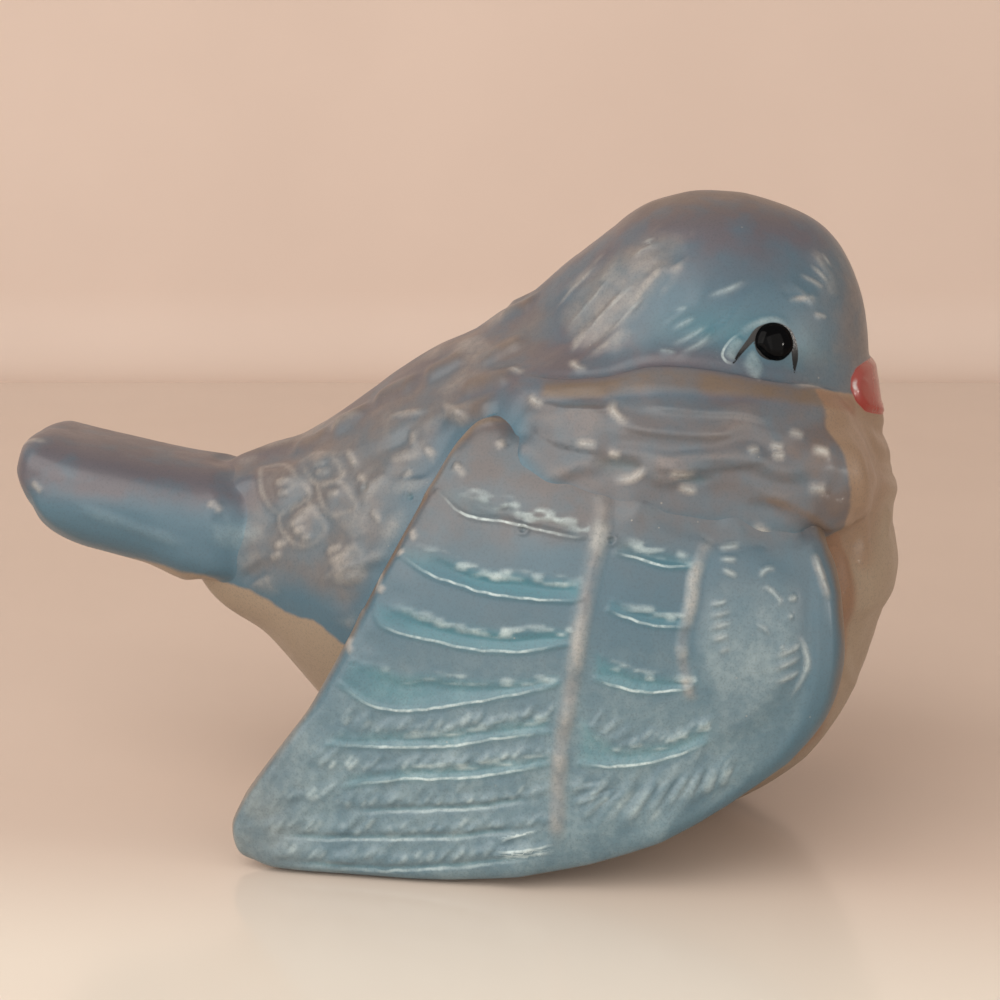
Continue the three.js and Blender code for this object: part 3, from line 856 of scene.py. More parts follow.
CREAM_OUTLINE = [
    (60, 556), (130, 558), (165, 563), (205, 570), (225, 582), (250, 590), (268, 600), (285, 612),
    (300, 618), (314, 620), (326, 630), (340, 642), (420, 690), (600, 700), (720, 640), (790, 560),
    (834, 523), (840, 488), (837, 461), (825, 438), (815, 410), (808, 395), (846, 394), (900, 394),
    (1000, 400), (1000, 1000), (60, 1000),
]
BREAST_FOLDS = [
    [(852, 425), (866, 446), (886, 462)], [(846, 466), (866, 486), (890, 496)],
    [(862, 414), (878, 424), (884, 440)], [(852, 500), (860, 530), (866, 570)],
    [(882, 508), (884, 541)], [(846, 440), (850, 480), (852, 520)],
]
# Where the wing's painted shadow falls on the breast
TOAST_OUTLINE = [
    (786, 492), (815, 503), (838, 524), (854, 556), (862, 600), (862, 650), (850, 700), (826, 742),
    (794, 764), (770, 740), (820, 640), (815, 560),
]
BREAST_PATCH = [
    (845, 415), (885, 415), (905, 500), (905, 600), (860, 700), (835, 640), (845, 560), (838, 480),
]


# By how many mm the front is moved out at each height in mm, and the crown at each pixel column
FRONT_HEIGHTS = (12, 17, 22, 26, 31, 36, 39, 42, 47, 54, 57, 60, 63, 67, 72, 79, 84)
FRONT_SWELLS = (0, -0.8, -1.4, -2.0, -2.4, -2.3, -1.8, -0.4, 0.1, 0.2, 1.2, 2.3, 2.7, 2.3, 1.8, 0.9, 0)
FRONT_FACING = (0.15, 0.8)
FRONT_START = (25, 45)
CROWN_PLACES = (500, 575, 610, 650, 690, 740, 790, 850, 880)
CROWN_SWELLS = (0, -1.4, -1.4, -0.3, 0.5, 1.1, 0.8, 0.7, 0)
CROWN_FACING = (0.3, 0.85)
CROWN_START = (60, 75)


def shape_front(body):
    """Fills the throat out and draws the lower breast in, by the outline of the photograph."""
    front = smoothstep(*FRONT_FACING, body.normals[:, 0]) * smoothstep(*FRONT_START, body.points[:, 0] / MM)
    body.height += front * np.interp(body.points[:, 2] / MM, FRONT_HEIGHTS, FRONT_SWELLS)


def shape_crown(body):
    """Raises the crown and draws the neck in, by the outline of the photograph."""
    top = smoothstep(*CROWN_FACING, body.normals @ upward) * smoothstep(*CROWN_START, body.points[:, 2] / MM)
    body.height += top * np.interp(body.pixels[:, 0], CROWN_PLACES, CROWN_SWELLS)


BREAST_COMB = dict(slant=-80, width=2.6, length=9, rise=0.35, seed=6)
BREAST_FOLD = dict(width=5.5, rise=0.6)
TOAST_EDGE = (0, 1.8)
CREAM_EDGE = (-0.4, 0.2)


def model_breast(body):
    body.comb(BREAST_PATCH, **BREAST_COMB)
    body.marks(BREAST_FOLDS, **BREAST_FOLD)
    body.masks["cream"] = body.region(CREAM_OUTLINE)
    # the brown sprayed beside the wing turns the cream orange-brown: the painted shadow of the wing on the
    # breast
    toast = smoothstep(*TOAST_EDGE, body.region(TOAST_OUTLINE))
    toast *= smoothstep(*CREAM_EDGE, body.masks["cream"])
    body.spray(toast * body.facing, brown=0.85)


# The tail

COVERT_EDGE = [(213, 455), (206, 480), (204, 500), (207, 518), (222, 530), (232, 548), (240, 570)]
COVERT_LIGHT = [
    (206, 522), (222, 514), (244, 516), (266, 524), (268, 540), (246, 552), (222, 552), (206, 542),
]
TAIL_DABS = [
    [(209, 510), (213, 504), (222, 514)], [(32, 454), (40, 451), (50, 452)],
    [(32, 482), (38, 488), (43, 492)], [(232, 470), (250, 471), (268, 468)],
]
TAIL_RIDGE = [(72, 507), (110, 519), (140, 530), (192, 546)]
TAIL_BLUE_EDGE = [(20, 492), (32, 495), (120, 503), (206, 513), (330, 520)]
TAIL_LOWEST = 700
COVERT_TOP = (330, 440)
COVERT_FOOT = (330, 580)


def spray_mauve(skin, low=0.25, high=0.95):
    """Mauve on what faces up, thicker as the skin turns from low to high: partly the lilac sprayed from
    above, partly painted shade and warm reflection on the tops.
    """
    skin.spray(smoothstep(low, high, skin.normals[:, 2]), mauve=1.0)


RUMP_EDGE = (-2, 3)
RUMP_FADE = (330, 262)
COVERT_LIGHT_GLAZE = dict(soft=3.5, rise=0.2, pale=0.2)


def spray_rump(skin):
    """Mauve along the top of the tail and on over the rump, partly the lilac sprayed there and partly
    painted warm reflection on the top, and the light patch where they meet.
    """
    right, left = TAIL_BLUE_EDGE[-1][0], TAIL_BLUE_EDGE[0][0]
    above = -skin.region([*TAIL_BLUE_EDGE, (right, TAIL_LOWEST), (left, TAIL_LOWEST)])
    skin.spray(smoothstep(*RUMP_EDGE, above) * smoothstep(*RUMP_FADE, skin.pixels[:, 0]), mauve=0.9)
    skin.patch(COVERT_LIGHT, **COVERT_LIGHT_GLAZE)


# How the tail is filled out, in mm, by pixel columns and by the way its skin faces
TAIL_JOINT = 238
TAIL_FILL = 32
TAIL_FILL_RISE = 0.8
KEEL_RISE = 1.2
KEEL_START = (140, 190)
KEEL_END = (262, 215)
KEEL_FACING = (0.2, -0.6)
TAIL_TOP_RISE = 1.0
TAIL_TOP_FACING = (0.3, 0.9)
TAIL_TOP_END = (190, 60)
TIP_MIDDLE = 20
TIP_REACH = 70
TIP_RISE = 1.6
TIP_FACING = (0.4, 0.9)
TIP_CORNER_DROP = 1.2
TIP_CORNER_FACING = (0.5, 0.95)


def shape_tail(skin):
    """Fills out the root, the keel, the top and the tip, and draws the tip's lower corner in."""
    x = skin.pixels[:, 0]
    up = skin.normals[:, 2]
    tip = bell(x - TIP_MIDDLE, TIP_REACH)
    tip_top = skin.normals @ (upward - rightward) / math.sqrt(2)
    tip_corner = -skin.normals @ (upward + rightward) / math.sqrt(2)
    skin.height += TAIL_FILL_RISE * bell(x - TAIL_JOINT, TAIL_FILL) * skin.facing
    keel = smoothstep(*KEEL_START, x) * smoothstep(*KEEL_END, x)
    skin.height += KEEL_RISE * keel * smoothstep(*KEEL_FACING, up)
    skin.height += TAIL_TOP_RISE * smoothstep(*TAIL_TOP_FACING, up) * smoothstep(*TAIL_TOP_END, x)
    skin.height += TIP_RISE * tip * smoothstep(*TIP_FACING, tip_top)
    skin.height -= TIP_CORNER_DROP * tip * smoothstep(*TIP_CORNER_FACING, tip_corner)


TAIL_SINK = (8, 0, -1.6)
COVERT_SWELL = dict(soft=2.6, rise=0.2)
# The pale along the tail's ridge is a painted highlight, and the tail's dabs are a painted pinkish sheen.
TAIL_RIDGE_MARK = dict(width=3.2, rise=0.2, pale=0.08)
TAIL_DAB = dict(width=2.0, rise=0.15, blush=0.7)


def make_tail(body_tree):
    tail = copy_of("tail", "tail_slab")
    sink_seat(tail, body_tree, TAIL_SINK)
    remesh(tail, TAIL_GRAIN)
    relax(tail.data, TAIL_PASSES)
    skin = Skin(tail)
    shape_tail(skin)
    skin.patch([*COVERT_EDGE, COVERT_FOOT, COVERT_TOP], **COVERT_SWELL)
    skin.stroke(TAIL_RIDGE, **TAIL_RIDGE_MARK)
    skin.marks(TAIL_DABS, **TAIL_DAB)
    spray_rump(skin)
    spray_mauve(skin)
    skin.masks["cream"] = skin.region(CREAM_OUTLINE)
    return skin


# The wings: a plain bulged face ironed out of the frame's slab, and the feathers carved into it

# A channel between two feathers is a ragged lip and, below it, a foot
FLIGHT_CHANNELS = [
    (
        [
            (446, 490), (462, 492), (480, 495), (497, 504), (510, 502), (526, 516), (542, 514),
            (568, 522), (584, 528),
        ],
        [(438, 492), (457, 510), (475, 518), (506, 522), (540, 530), (571, 537), (586, 536)],
    ),
    (
        [
            (404, 548), (420, 550), (434, 553), (451, 561), (469, 569), (495, 575), (516, 575),
            (540, 579), (579, 583),
        ],
        [
            (402, 556), (422, 570), (436, 577), (457, 584), (485, 593), (516, 597), (566, 601),
            (582, 598),
        ],
    ),
    (
        [
            (378, 606), (391, 609), (408, 610), (428, 618), (451, 625), (473, 629), (506, 633),
            (540, 631), (568, 633),
        ],
        [
            (376, 616), (383, 626), (404, 634), (436, 641), (465, 648), (495, 651), (526, 651),
            (566, 644),
        ],
    ),
    (
        [
            (352, 664), (364, 665), (387, 672), (404, 678), (428, 676), (458, 680), (482, 682),
            (506, 683), (556, 679),
        ],
        [
            (340, 684), (361, 700), (385, 709), (415, 710), (454, 705), (491, 699), (545, 688),
            (558, 683),
        ],
    ),
    (
        [(344, 731), (354, 735), (389, 733), (432, 735), (469, 729), (502, 725), (546, 719)],
        [(328, 744), (359, 746), (404, 747), (448, 746), (480, 741), (513, 736), (548, 732)],
    ),
    (
        [(352, 778), (390, 772), (426, 768), (476, 765), (515, 761), (546, 758)],
        [(346, 786), (359, 784), (404, 779), (458, 778), (502, 773), (548, 764)],
    ),
]
SECOND_CHANNELS = [
    (
        [(620, 541), (628, 542), (648, 550), (671, 554), (690, 560)],
        [(617, 553), (638, 558), (662, 566), (692, 567)],
    ),
    (
        [(612, 602), (632, 610), (652, 612), (683, 619)],
        [(609, 610), (628, 618), (652, 625), (684, 627)],
    ),
    (
        [(598, 657), (613, 665), (638, 674), (671, 679), (693, 680)],
        [(596, 679), (617, 686), (646, 692), (683, 689), (695, 683)],
    ),
    (
        [(584, 722), (592, 733), (607, 742), (622, 750), (642, 746), (666, 744), (683, 737), (706, 726)],
        [(579, 764), (607, 766), (642, 764), (673, 756), (706, 742)],
    ),
]
LOWER_LINES = [
    [(340, 812), (357, 811), (437, 808), (480, 806), (513, 801), (545, 797)],
    [(262, 834), (317, 837), (393, 837), (458, 836), (491, 832), (545, 829)],
    [(270, 861), (317, 864), (372, 868), (404, 868), (458, 865), (491, 861), (524, 857), (564, 851)],
]
FIRST_RIB = [
    (598, 488), (603, 509), (595, 560), (588, 590), (582, 618), (571, 690), (562, 740), (558, 790),
    (556, 850),
]
SECOND_RIB = [(709, 537), (695, 574), (691, 603), (683, 637), (683, 664), (693, 705)]
FAN_LOW = [
    (566, 790), (570, 806), (578, 822), (600, 830), (622, 829), (644, 821), (664, 812), (684, 804),
    (703, 797), (718, 788),
]
FAN_HIGH = [
    (600, 782), (606, 790), (618, 788), (640, 781), (660, 776), (676, 772), (692, 768), (704, 764),
    (718, 761), (732, 762),
]
SHOULDER_PATCH = [
    (712, 542), (745, 538), (775, 550), (800, 578), (806, 620), (803, 665), (785, 705), (750, 740),
    (712, 745), (696, 705), (686, 664), (686, 637), (694, 603), (698, 574), (706, 545),
]
SHOULDER_TUFTS = [
    [(717, 549), (742, 544)], [(718, 559), (738, 560)], [(720, 568), (738, 578)],
    [(709, 606), (728, 600)], [(708, 617), (732, 610)], [(707, 628), (733, 622)],
    [(709, 640), (730, 634)], [(716, 652), (730, 646)], [(752, 621), (762, 628), (768, 637)],
    [(757, 580), (764, 570), (776, 568)], [(758, 592), (766, 588), (777, 600), (774, 612)],
    [(784, 599), (797, 597)], [(784, 617), (792, 615)], [(770, 656), (790, 648), (800, 640)],
    [(768, 668), (786, 662), (800, 654)], [(770, 682), (790, 674), (800, 668)],
    [(789, 631), (801, 644), (805, 660), (801, 676), (785, 703)], [(776, 648), (782, 644)],
]
LOW_GLINTS = [
    [(492, 851), (511, 852), (535, 848), (557, 845)], [(496, 858), (521, 856), (557, 851)],
    [(498, 845), (506, 839), (519, 835), (542, 829)],
]
TRAILING_NOTCHES = [
    [(452, 474), (458, 468), (466, 478)], [(452, 466), (462, 466)], [(411, 528), (414, 536), (418, 540)],
    [(399, 550), (402, 556)], [(384, 570), (379, 584), (377, 596)], [(384, 584), (378, 594)],
    [(364, 608), (361, 624)], [(354, 634), (349, 646), (354, 654)], [(498, 438), (503, 450)],
]
BARB_ROWS = [
    [(336, 726), (358, 733), (389, 732), (432, 734), (469, 728), (502, 724), (546, 718)],
    [(302, 764), (330, 769), (380, 771), (426, 768), (476, 765), (515, 760), (546, 756)],
    [(282, 800), (330, 805), (390, 808), (440, 806), (480, 804), (513, 800), (545, 795)],
    [(262, 828), (317, 834), (393, 834), (458, 833), (491, 829), (545, 826)],
    [(262, 856), (317, 861), (372, 864), (404, 864), (458, 861), (491, 857), (524, 853)],
    [(584, 722), (592, 733), (607, 742), (622, 748), (642, 746), (666, 743), (683, 737), (706, 726)],
]
LOW_PATCH = [
    (330, 700), (400, 715), (480, 710), (548, 700), (552, 850), (500, 866), (400, 872), (300, 868),
    (252, 850), (248, 826), (290, 770),
]
FAN_PATCH = [
    (562, 780), (600, 768), (650, 770), (708, 744), (735, 760), (720, 792), (690, 806), (650, 822),
    (600, 834), (566, 812),
]
WING_DIMPLES = [[(566, 456), (570, 464), (574, 474)], [(581, 468), (586, 474), (590, 484)]]
WING_PINHOLES = [(523, 529), (611, 540)]
RIGHT_RIM = [(776, 504), (800, 511), (822, 528), (836, 552), (842, 584)]
TRAILING_RIM = [
    (540, 437), (520, 425), (500, 419), (482, 422), (466, 434), (450, 456), (436, 480), (414, 510),
    (396, 540), (380, 572), (365, 604), (355, 629), (344, 649), (304, 720), (264, 786),
]
RIM_GLINT = [(812, 550), (817, 568), (821, 585), (825, 603)]


# How the outer face is ironed. Insets are in mm from the slab's rim, and a flat is what lies within a range
# of the bulge, also in mm. Each fit after the first leaves out what isn't flat.
RIM_FACING = 0.35
BULGE_MIDDLE = 50 * MM
BULGE_POWERS = 6
BULGE_FITS = 6
FLAT_INSET = 4
FLAT_RANGE = (-0.3, 0.6)
IRON_EDGE = (2, 6)


def iron(piece):
    """Takes the frame's coarse feathers off the wing's outer face: a smooth bulge is fitted to its flats."""
    points = vertex_array(piece.data)
    normals = vertex_array(piece.data, "normal")
    rim = np.flatnonzero(np.abs(normals[:, 1]) < RIM_FACING)
    rim_tree = KDTree(len(rim))
    for number in rim:
        rim_tree.insert((points[number, 0], 0, points[number, 2]), int(number))
    rim_tree.balance()
    face = np.flatnonzero(normals[:, 1] < -RIM_FACING)
    from_rim = np.array([rim_tree.find((points[i, 0], 0, points[i, 2]))[2] for i in face]) / MM
    x = points[face, 0] / BULGE_MIDDLE
    z = points[face, 2] / BULGE_MIDDLE - 1
    out = points[face, 1]
    terms = np.column_stack([x ** i * z ** j for i in range(BULGE_POWERS) for j in range(BULGE_POWERS - i)])
    flat = from_rim > FLAT_INSET
    for _ in range(BULGE_FITS):
        bulge = terms @ np.linalg.lstsq(terms[flat], out[flat], rcond=None)[0]
        proud = (bulge - out) / MM
        flat = (from_rim > FLAT_INSET) & (proud > FLAT_RANGE[0]) & (proud < FLAT_RANGE[1])
    points[face, 1] += smoothstep(*IRON_EDGE, from_rim) * (bulge - out)
    put_points(piece.data, points)


# The step between two feathers, with dabs of painted highlight on its lip and a painted highlight on its
# foot.
# Widths and heights are in mm, the ends are shares of its length, and the clouds that break the dabs up are
# in pixels.
FLIGHT_DEPTH = 0.7
SECOND_DEPTH = 0.6
CHANNEL_SOFT = (0, 2.2)
CHANNEL_ENDS = (0.35, 0.08)
CHANNEL_STAIN = (-2.2, 1.4)
FOOT_CREST_RISE = 0.2
FOOT_CREST_HALF = 0.9
FOOT_CREST_SHINE = dict(strength=0.55, taper=0.3)
LIP_DAB_DROP = 0.3
LIP_DAB_HALF = 1.2
LIP_DAB_RISE = 0.12
LIP_DAB_CLOUD = (11, 5)
LIP_DAB_TOPS = (-0.5, 0.7)
LIP_DAB_START = (0.02, 0.3)


def carve_channel(wing, lip, foot, depth):
    """The step from one feather down to the next: deepest under a ragged lip with painted highlight dabs,
    rising to a crisp crest with a painted highlight.
    """
    deep = wing.region(np.vstack([curve(lip), curve(foot)[::-1]]))
    from_lip, share, _ = to_line(wing.pixels, curve(lip))
    from_foot = to_line(wing.pixels, curve(foot))[0]
    ramp = 1 - from_lip / (from_lip + from_foot + 1)
    ends = tapered(share, *CHANNEL_ENDS)
    wing.height -= depth * ramp * smoothstep(*CHANNEL_SOFT, deep) * ends * wing.facing
    wing.height += FOOT_CREST_RISE * bell(from_foot / PIXELS_PER_MM, FOOT_CREST_HALF) * wing.facing
    across, down = (wing.pixels / LIP_DAB_CLOUD).T
    uneven = smoothstep(*LIP_DAB_TOPS, clouds(across, down, int(lip[0][0])))
    dabs = bell(from_lip / PIXELS_PER_MM - LIP_DAB_DROP, LIP_DAB_HALF) * uneven * wing.facing
    wing.height += LIP_DAB_RISE * dabs
    wing.spray(smoothstep(*CHANNEL_STAIN, deep) * wing.facing, teal=0.9)
    # the pale dabs along the lip are painted highlights
    wing.spray(dabs * smoothstep(*LIP_DAB_START, share), pale=0.6)
    wing.glint(foot, **FOOT_CREST_SHINE)


# The ranges that each barb is drawn from at random, in pixels but for its width in mm
BARB_STRAY = (-4, 4)
BARB_REACH = (0.5, 1.5)
BARB_DROP = (-3, 2)
BARB_LEAN = (7, 13)
BARB_WIDTH = (1.2, 2.4)
# the pale on a barb is a painted highlight
BARB_PALE = (0.05, 0.5)

# What all barbs share: their spacing, how they run from a foot through a bend to a tip, and their rise in mm
BARB_STEP = 7.5
BARB_TIP_REACH = 0.6
BARB_FOOT = (-3, 1)
BARB_BEND = (0.4, 5)
BARB_HEIGHT = 12
BARB_RISE = 0.24


def barb_row(wing, line, seed):
    """Soft slanting barbs that stand along the edge of a feather, longest at its tip."""
    uneven = np.random.default_rng(seed)
    points = curve(line)
    starts = run_along(points)
    for start in np.arange(BARB_STEP, starts[-1], BARB_STEP):
        start += uneven.uniform(*BARB_STRAY)
        x = np.interp(start, starts, points[:, 0])
        y = np.interp(start, starts, points[:, 1])
        reach = uneven.uniform(*BARB_REACH) * (1 + BARB_TIP_REACH * (1 - start / starts[-1]) ** 3)
        y += uneven.uniform(*BARB_DROP)
        lean = uneven.uniform(*BARB_LEAN)
        foot = (x + BARB_FOOT[0], y + BARB_FOOT[1])
        bend = (x + BARB_BEND[0] * lean * reach, y - BARB_BEND[1] * reach)
        tip = (x + lean * reach, y - BARB_HEIGHT * reach)
        width = uneven.uniform(*BARB_WIDTH)
        wing.stroke([foot, bend, tip], width, BARB_RISE, taper=0.4, pale=uneven.uniform(*BARB_PALE))


# The pinkish along each rib is a painted sheen.
FIRST_RIB_SHAPE = dict(width=4.6, rise=0.8, lumps=5, mauve=0.5, blush=0.3)
SECOND_RIB_SHAPE = dict(width=3.4, rise=0.5, lumps=3, mauve=0.4, blush=0.25)
RIB_ENDS = (0.08, 0.1)
LUMP_HEIGHT = 0.3
LUMP_STRAY = 0.35
LUMP_STRAY_TURN = 9
LUMP_TOPS = (0.5, 1.0)


def carve_rib(wing, line, width, rise, lumps, **glazes):
    """A raised rib with lumps along it that don't quite follow an even beat, with a painted pale and pinkish
    highlight on each lump's top.
    """
    distance, share, _ = to_line(wing.pixels, curve(line))
    beat = lumps * share + LUMP_STRAY * np.sin(LUMP_STRAY_TURN * share)
    high = 1 - LUMP_HEIGHT + LUMP_HEIGHT * np.cos(2 * math.pi * beat)
    shape = bell(distance / PIXELS_PER_MM, width / 2) * tapered(share, *RIB_ENDS) * wing.facing
    wing.height += rise * high * shape
    wing.spray(smoothstep(*LUMP_TOPS, high) * shape, pale=0.3, blush=0.5)
    wing.spray(shape, **glazes)


LOWER_GROOVE = dict(width=1.8, rise=-0.3, taper=0.2, teal=0.6)
LOWER_CREST_DROP = 3
LOWER_CREST_SHINE = dict(strength=0.3, taper=0.5)
# The pale on the comb's raised tops is a painted highlight.
LOW_COMB = dict(slant=42, width=1.5, length=3.0, rise=0.16, seed=11, pale=0.28)


def carve_feathers(wing):
    """The two rows of flight feathers, the narrow feathers below them, and the barbs on their edges."""
    for lip, foot in FLIGHT_CHANNELS:
        carve_channel(wing, lip, foot, FLIGHT_DEPTH)
    for lip, foot in SECOND_CHANNELS:
        carve_channel(wing, lip, foot, SECOND_DEPTH)
    for line in LOWER_LINES:
        wing.stroke(line, **LOWER_GROOVE)
        wing.glint([(x, y + LOWER_CREST_DROP) for x, y in line], **LOWER_CREST_SHINE)
    wing.comb(LOW_PATCH, **LOW_COMB)
    for seed, line in enumerate(BARB_ROWS):
        barb_row(wing, line, seed)


SHOULDER_SWELL = dict(soft=4.5, rise=0.5, mauve=0.2)
SHOULDER_EDGE = (0, 5)
# The pale on the lower part of the shoulder is painted light.
SHOULDER_PALE_ROWS = (560, 640)
# Each tuft is a pale and pinkish painted highlight.
SHOULDER_TUFT = dict(width=1.8, rise=0.25, taper=0.4, pale=0.3, blush=0.2, shine=0.15)


def carve_shoulder(wing):
    """The smooth swell at the front of the wing, with painted light on its lower part, and short tufts with
    painted highlights on it.
    """
    wing.patch(SHOULDER_PATCH, **SHOULDER_SWELL)
    inside = smoothstep(*SHOULDER_EDGE, wing.region(SHOULDER_PATCH))
    wing.spray(inside * smoothstep(*SHOULDER_PALE_ROWS, wing.pixels[:, 1]), pale=0.25)
    wing.marks(SHOULDER_TUFTS, **SHOULDER_TUFT)


# The pale on the fan's comb and feathers is a painted highlight on their raised edges.
FAN_COMB = dict(slant=55, width=1.6, length=9, rise=0.3, seed=12, pale=0.5)
FAN_WIDTH = 2.6
FAN_WIDTH_CHANGE = 0.7
FAN_WIDTH_TURN = 5
FAN_FEATHER = dict(rise=0.35, taper=0.35, pale=0.45)
FAN_GROOVE = dict(width=1.0, rise=-0.25, taper=0.4)
FAN_GROOVE_LOW = (9, -5)
FAN_GROOVE_HIGH = (8, -2)


def carve_fan(wing):
    """The fan of short feathers below the shoulder, each with a groove beside it."""
    wing.comb(FAN_PATCH, **FAN_COMB)
    for number, ends in enumerate(zip(FAN_LOW, FAN_HIGH)):
        width = FAN_WIDTH + FAN_WIDTH_CHANGE * math.sin(FAN_WIDTH_TURN * number)
        wing.stroke(ends, width, **FAN_FEATHER)
        wing.stroke(np.add(ends, (FAN_GROOVE_LOW, FAN_GROOVE_HIGH)), **FAN_GROOVE)


# The brown along both rims is painted shade and dark reflection. The pale and pinkish of the rim glint, the
# low glints and the nicks are painted highlights and sheen.
RIGHT_RIM_MARK = dict(width=3.4, rise=0.2, taper=0.3, brown=0.8, mauve=0.5)
TRAILING_RIM_MARK = dict(width=3.4, rise=0.2, taper=0.1, brown=0.85, blush=0.15)
RIM_SHINE = dict(width=2.4, rise=0.25, blush=0.8, shine=0.2, shine_taper=0.4)
LOW_SHINE = dict(width=1.6, rise=0.25, pale=0.3, shine=0.6, shine_taper=0.4)
TRAILING_NOTCH = dict(width=2.2, rise=0.2, taper=0.35, blush=0.75)
WING_DIMPLE = dict(width=2.6, rise=-0.4, teal=0.5)

# How the two rims are filled out, in mm, by pixel rows
FRONT_RIM_RISE = 1.8
FRONT_RIM_FACING = (0.1, 0.7)
FRONT_RIM_ROW = 670
FRONT_RIM_REACH = 150
TRAILING_RIM_RISE = 0.9
TRAILING_RIM_FACING = (0.3, 0.8)
TRAILING_RIM_ROWS = (700, 760)


def model_rims(wing):
    """The fuller rims of the wing, with the brown of painted shade and dark reflection, the nicks and the
    painted highlights on them.
    """
    front = smoothstep(*FRONT_RIM_FACING, wing.normals[:, 0])
    wing.height += FRONT_RIM_RISE * front * bell(wing.pixels[:, 1] - FRONT_RIM_ROW, FRONT_RIM_REACH)
    trailing = smoothstep(*TRAILING_RIM_FACING, -wing.normals[:, 0])
    wing.height += TRAILING_RIM_RISE * trailing * smoothstep(*TRAILING_RIM_ROWS, wing.pixels[:, 1])
    wing.stroke(RIGHT_RIM, **RIGHT_RIM_MARK)
    wing.stroke(TRAILING_RIM, **TRAILING_RIM_MARK)
    wing.marks([RIM_GLINT], **RIM_SHINE)
    wing.marks(TRAILING_NOTCHES, **TRAILING_NOTCH)
    wing.marks(LOW_GLINTS, **LOW_SHINE)


def model_wing(wing):
    carve_feathers(wing)
    carve_shoulder(wing)
    carve_fan(wing)
    model_rims(wing)
    wing.marks(WING_DIMPLES, **WING_DIMPLE)
    for spot in WING_PINHOLES:
        pinhole(wing, spot)
    carve_rib(wing, FIRST_RIB, **FIRST_RIB_SHAPE)
    carve_rib(wing, SECOND_RIB, **SECOND_RIB_SHAPE)
    spray_wing(wing)


# From where to where each glaze and painted light of the wing thickens, by pixel rows or columns, or by the
# skin's facing
MAUVE_LEAST = 0.1
MAUVE_MORE = 0.2
MAUVE_ROWS = (800, 520)
TOP_MAUVE_ROWS = (590, 515)
TOP_BROWN_ROWS = (570, 515)
TIP_BROWN_COLUMNS = (330, 250)
LOW_PALE_ROWS = (590, 760)
LOW_PALE_FACING = (0.6, 0.2)
RIM_BROWN_FACING = (0.25, 0.75)
RIM_BROWN_TURN = (-0.55, 0.1)


def spray_wing(wing):
    """Mauve over the upper flats, partly its sprayed tone and partly painted shade; paler towards the lower
    edge and the tip, as painted light bounced up from the floor; and brown on the rims, as painted shade and
    dark reflection.
    """
    x, y = wing.pixels.T
    bare = (1 - wing.masks["teal"]) * wing.facing
    # mauve thicker towards the top: partly its sprayed tone, partly painted shade
    wing.spray(bare * (MAUVE_LEAST + MAUVE_MORE * smoothstep(*MAUVE_ROWS, y)), mauve=1.0)
    wing.spray(wing.facing, teal=0.25)
    # painted light, as if bounced up from the floor, low on the wing
    low = smoothstep(*LOW_PALE_ROWS, y) * smoothstep(*LOW_PALE_FACING, wing.normals[:, 0])
    wing.spray(low * wing.facing, pale=0.2)
    # more mauve on the top rows, also partly painted shade
    wing.spray(smoothstep(*TOP_MAUVE_ROWS, y) * wing.facing, mauve=0.6)
    top_or_tip = np.maximum(smoothstep(*TOP_BROWN_ROWS, y), smoothstep(*TIP_BROWN_COLUMNS, x))
    wing.spray(top_or_tip * wing.facing, brown=0.3)
    # brown where the rims turn sideways: painted shade and dark reflection
    rim = 1 - smoothstep(*RIM_BROWN_FACING, np.abs(wing.normals[:, 1]))
    wing.spray(rim * smoothstep(*RIM_BROWN_TURN, wing.normals[:, 2]), brown=0.9)
    spray_mauve(wing, low=0.3, high=1.0)


def plain_wing():
    """The right wing before it is carved."""
    piece = copy_of("right_wing", "right_wing_slab")
    remesh(piece, WING_GRAIN)
    iron(piece)
    relax(piece.data, WING_PASSES)
    return Skin(piece)


def mirror_of(piece, name):
    """The same piece on the bird's other side."""
    mesh = piece.data.copy()
    points = vertex_array(mesh)
    points[:, 1] *= -1
    put_points(mesh, points)
    mesh.flip_normals()
    return new_piece(name, mesh)


SPARED_FADE = 0.3
PRESSED_SHARE = 0.3


def seat(piece, tree, reach=2.2, press=0.3, spared=0.9):
    """Draws the rim that lies within reach of the body down into it, as luting slip closes a joint. In mm.
    Faces that look straight out, with more than the spared share of their normal along y, stay in place."""
    points = vertex_array(piece.data)
    rim = smoothstep(spared, spared - SPARED_FADE, np.abs(vertex_array(piece.data, "normal")[:, 1]))
    for number, point in enumerate(points):
        place, normal, _, distance = tree.find_nearest(Vector(point), reach * MM)
        if place is not None:
            share = smoothstep(reach, PRESSED_SHARE * reach, distance / MM) * rim[number]
            points[number] += share * (np.array(place - normal * press * MM) - point)
    put_points(piece.data, points)


# The bill and the eyes

BILL_SINK = (-2, 0, 0)
# The streaks on the bill are a painted pinkish sheen.
BILL_STREAK = dict(width=1.8, rise=0.1, taper=0.3, blush=0.25)


def make_bill(body_tree):
    bill = copy_of("beak", "bill")
    sink_seat(bill, body_tree, BILL_SINK)
    remesh(bill, SMALL_GRAIN)
    relax(bill.data, SMALL_PASSES)
    skin = Skin(bill)
    skin.masks["coral"] = -skin.masks["coral"]
    skin.marks(BILL_STREAKS, **BILL_STREAK)
    return skin


EYE_SEAT_REACH = 0.6
EYE_SWELL = 0.35


def make_eye(body_tree):
    eye = copy_of("right_eye", "right_eye_bead")
    low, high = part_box("right_eye")
    middle = (Vector(low) + Vector(high)) / 2
    outward = np.array(body_tree.find_nearest(middle)[1])
    sink_seat(eye, body_tree, -outward, reach=EYE_SEAT_REACH)
    remesh(eye, SMALL_GRAIN)
    relax(eye.data, SMALL_PASSES)
    skin = Skin(eye)
    skin.height += EYE_SWELL
    skin.masks["ink"] = -skin.masks["ink"]
    return skin


# Glazes

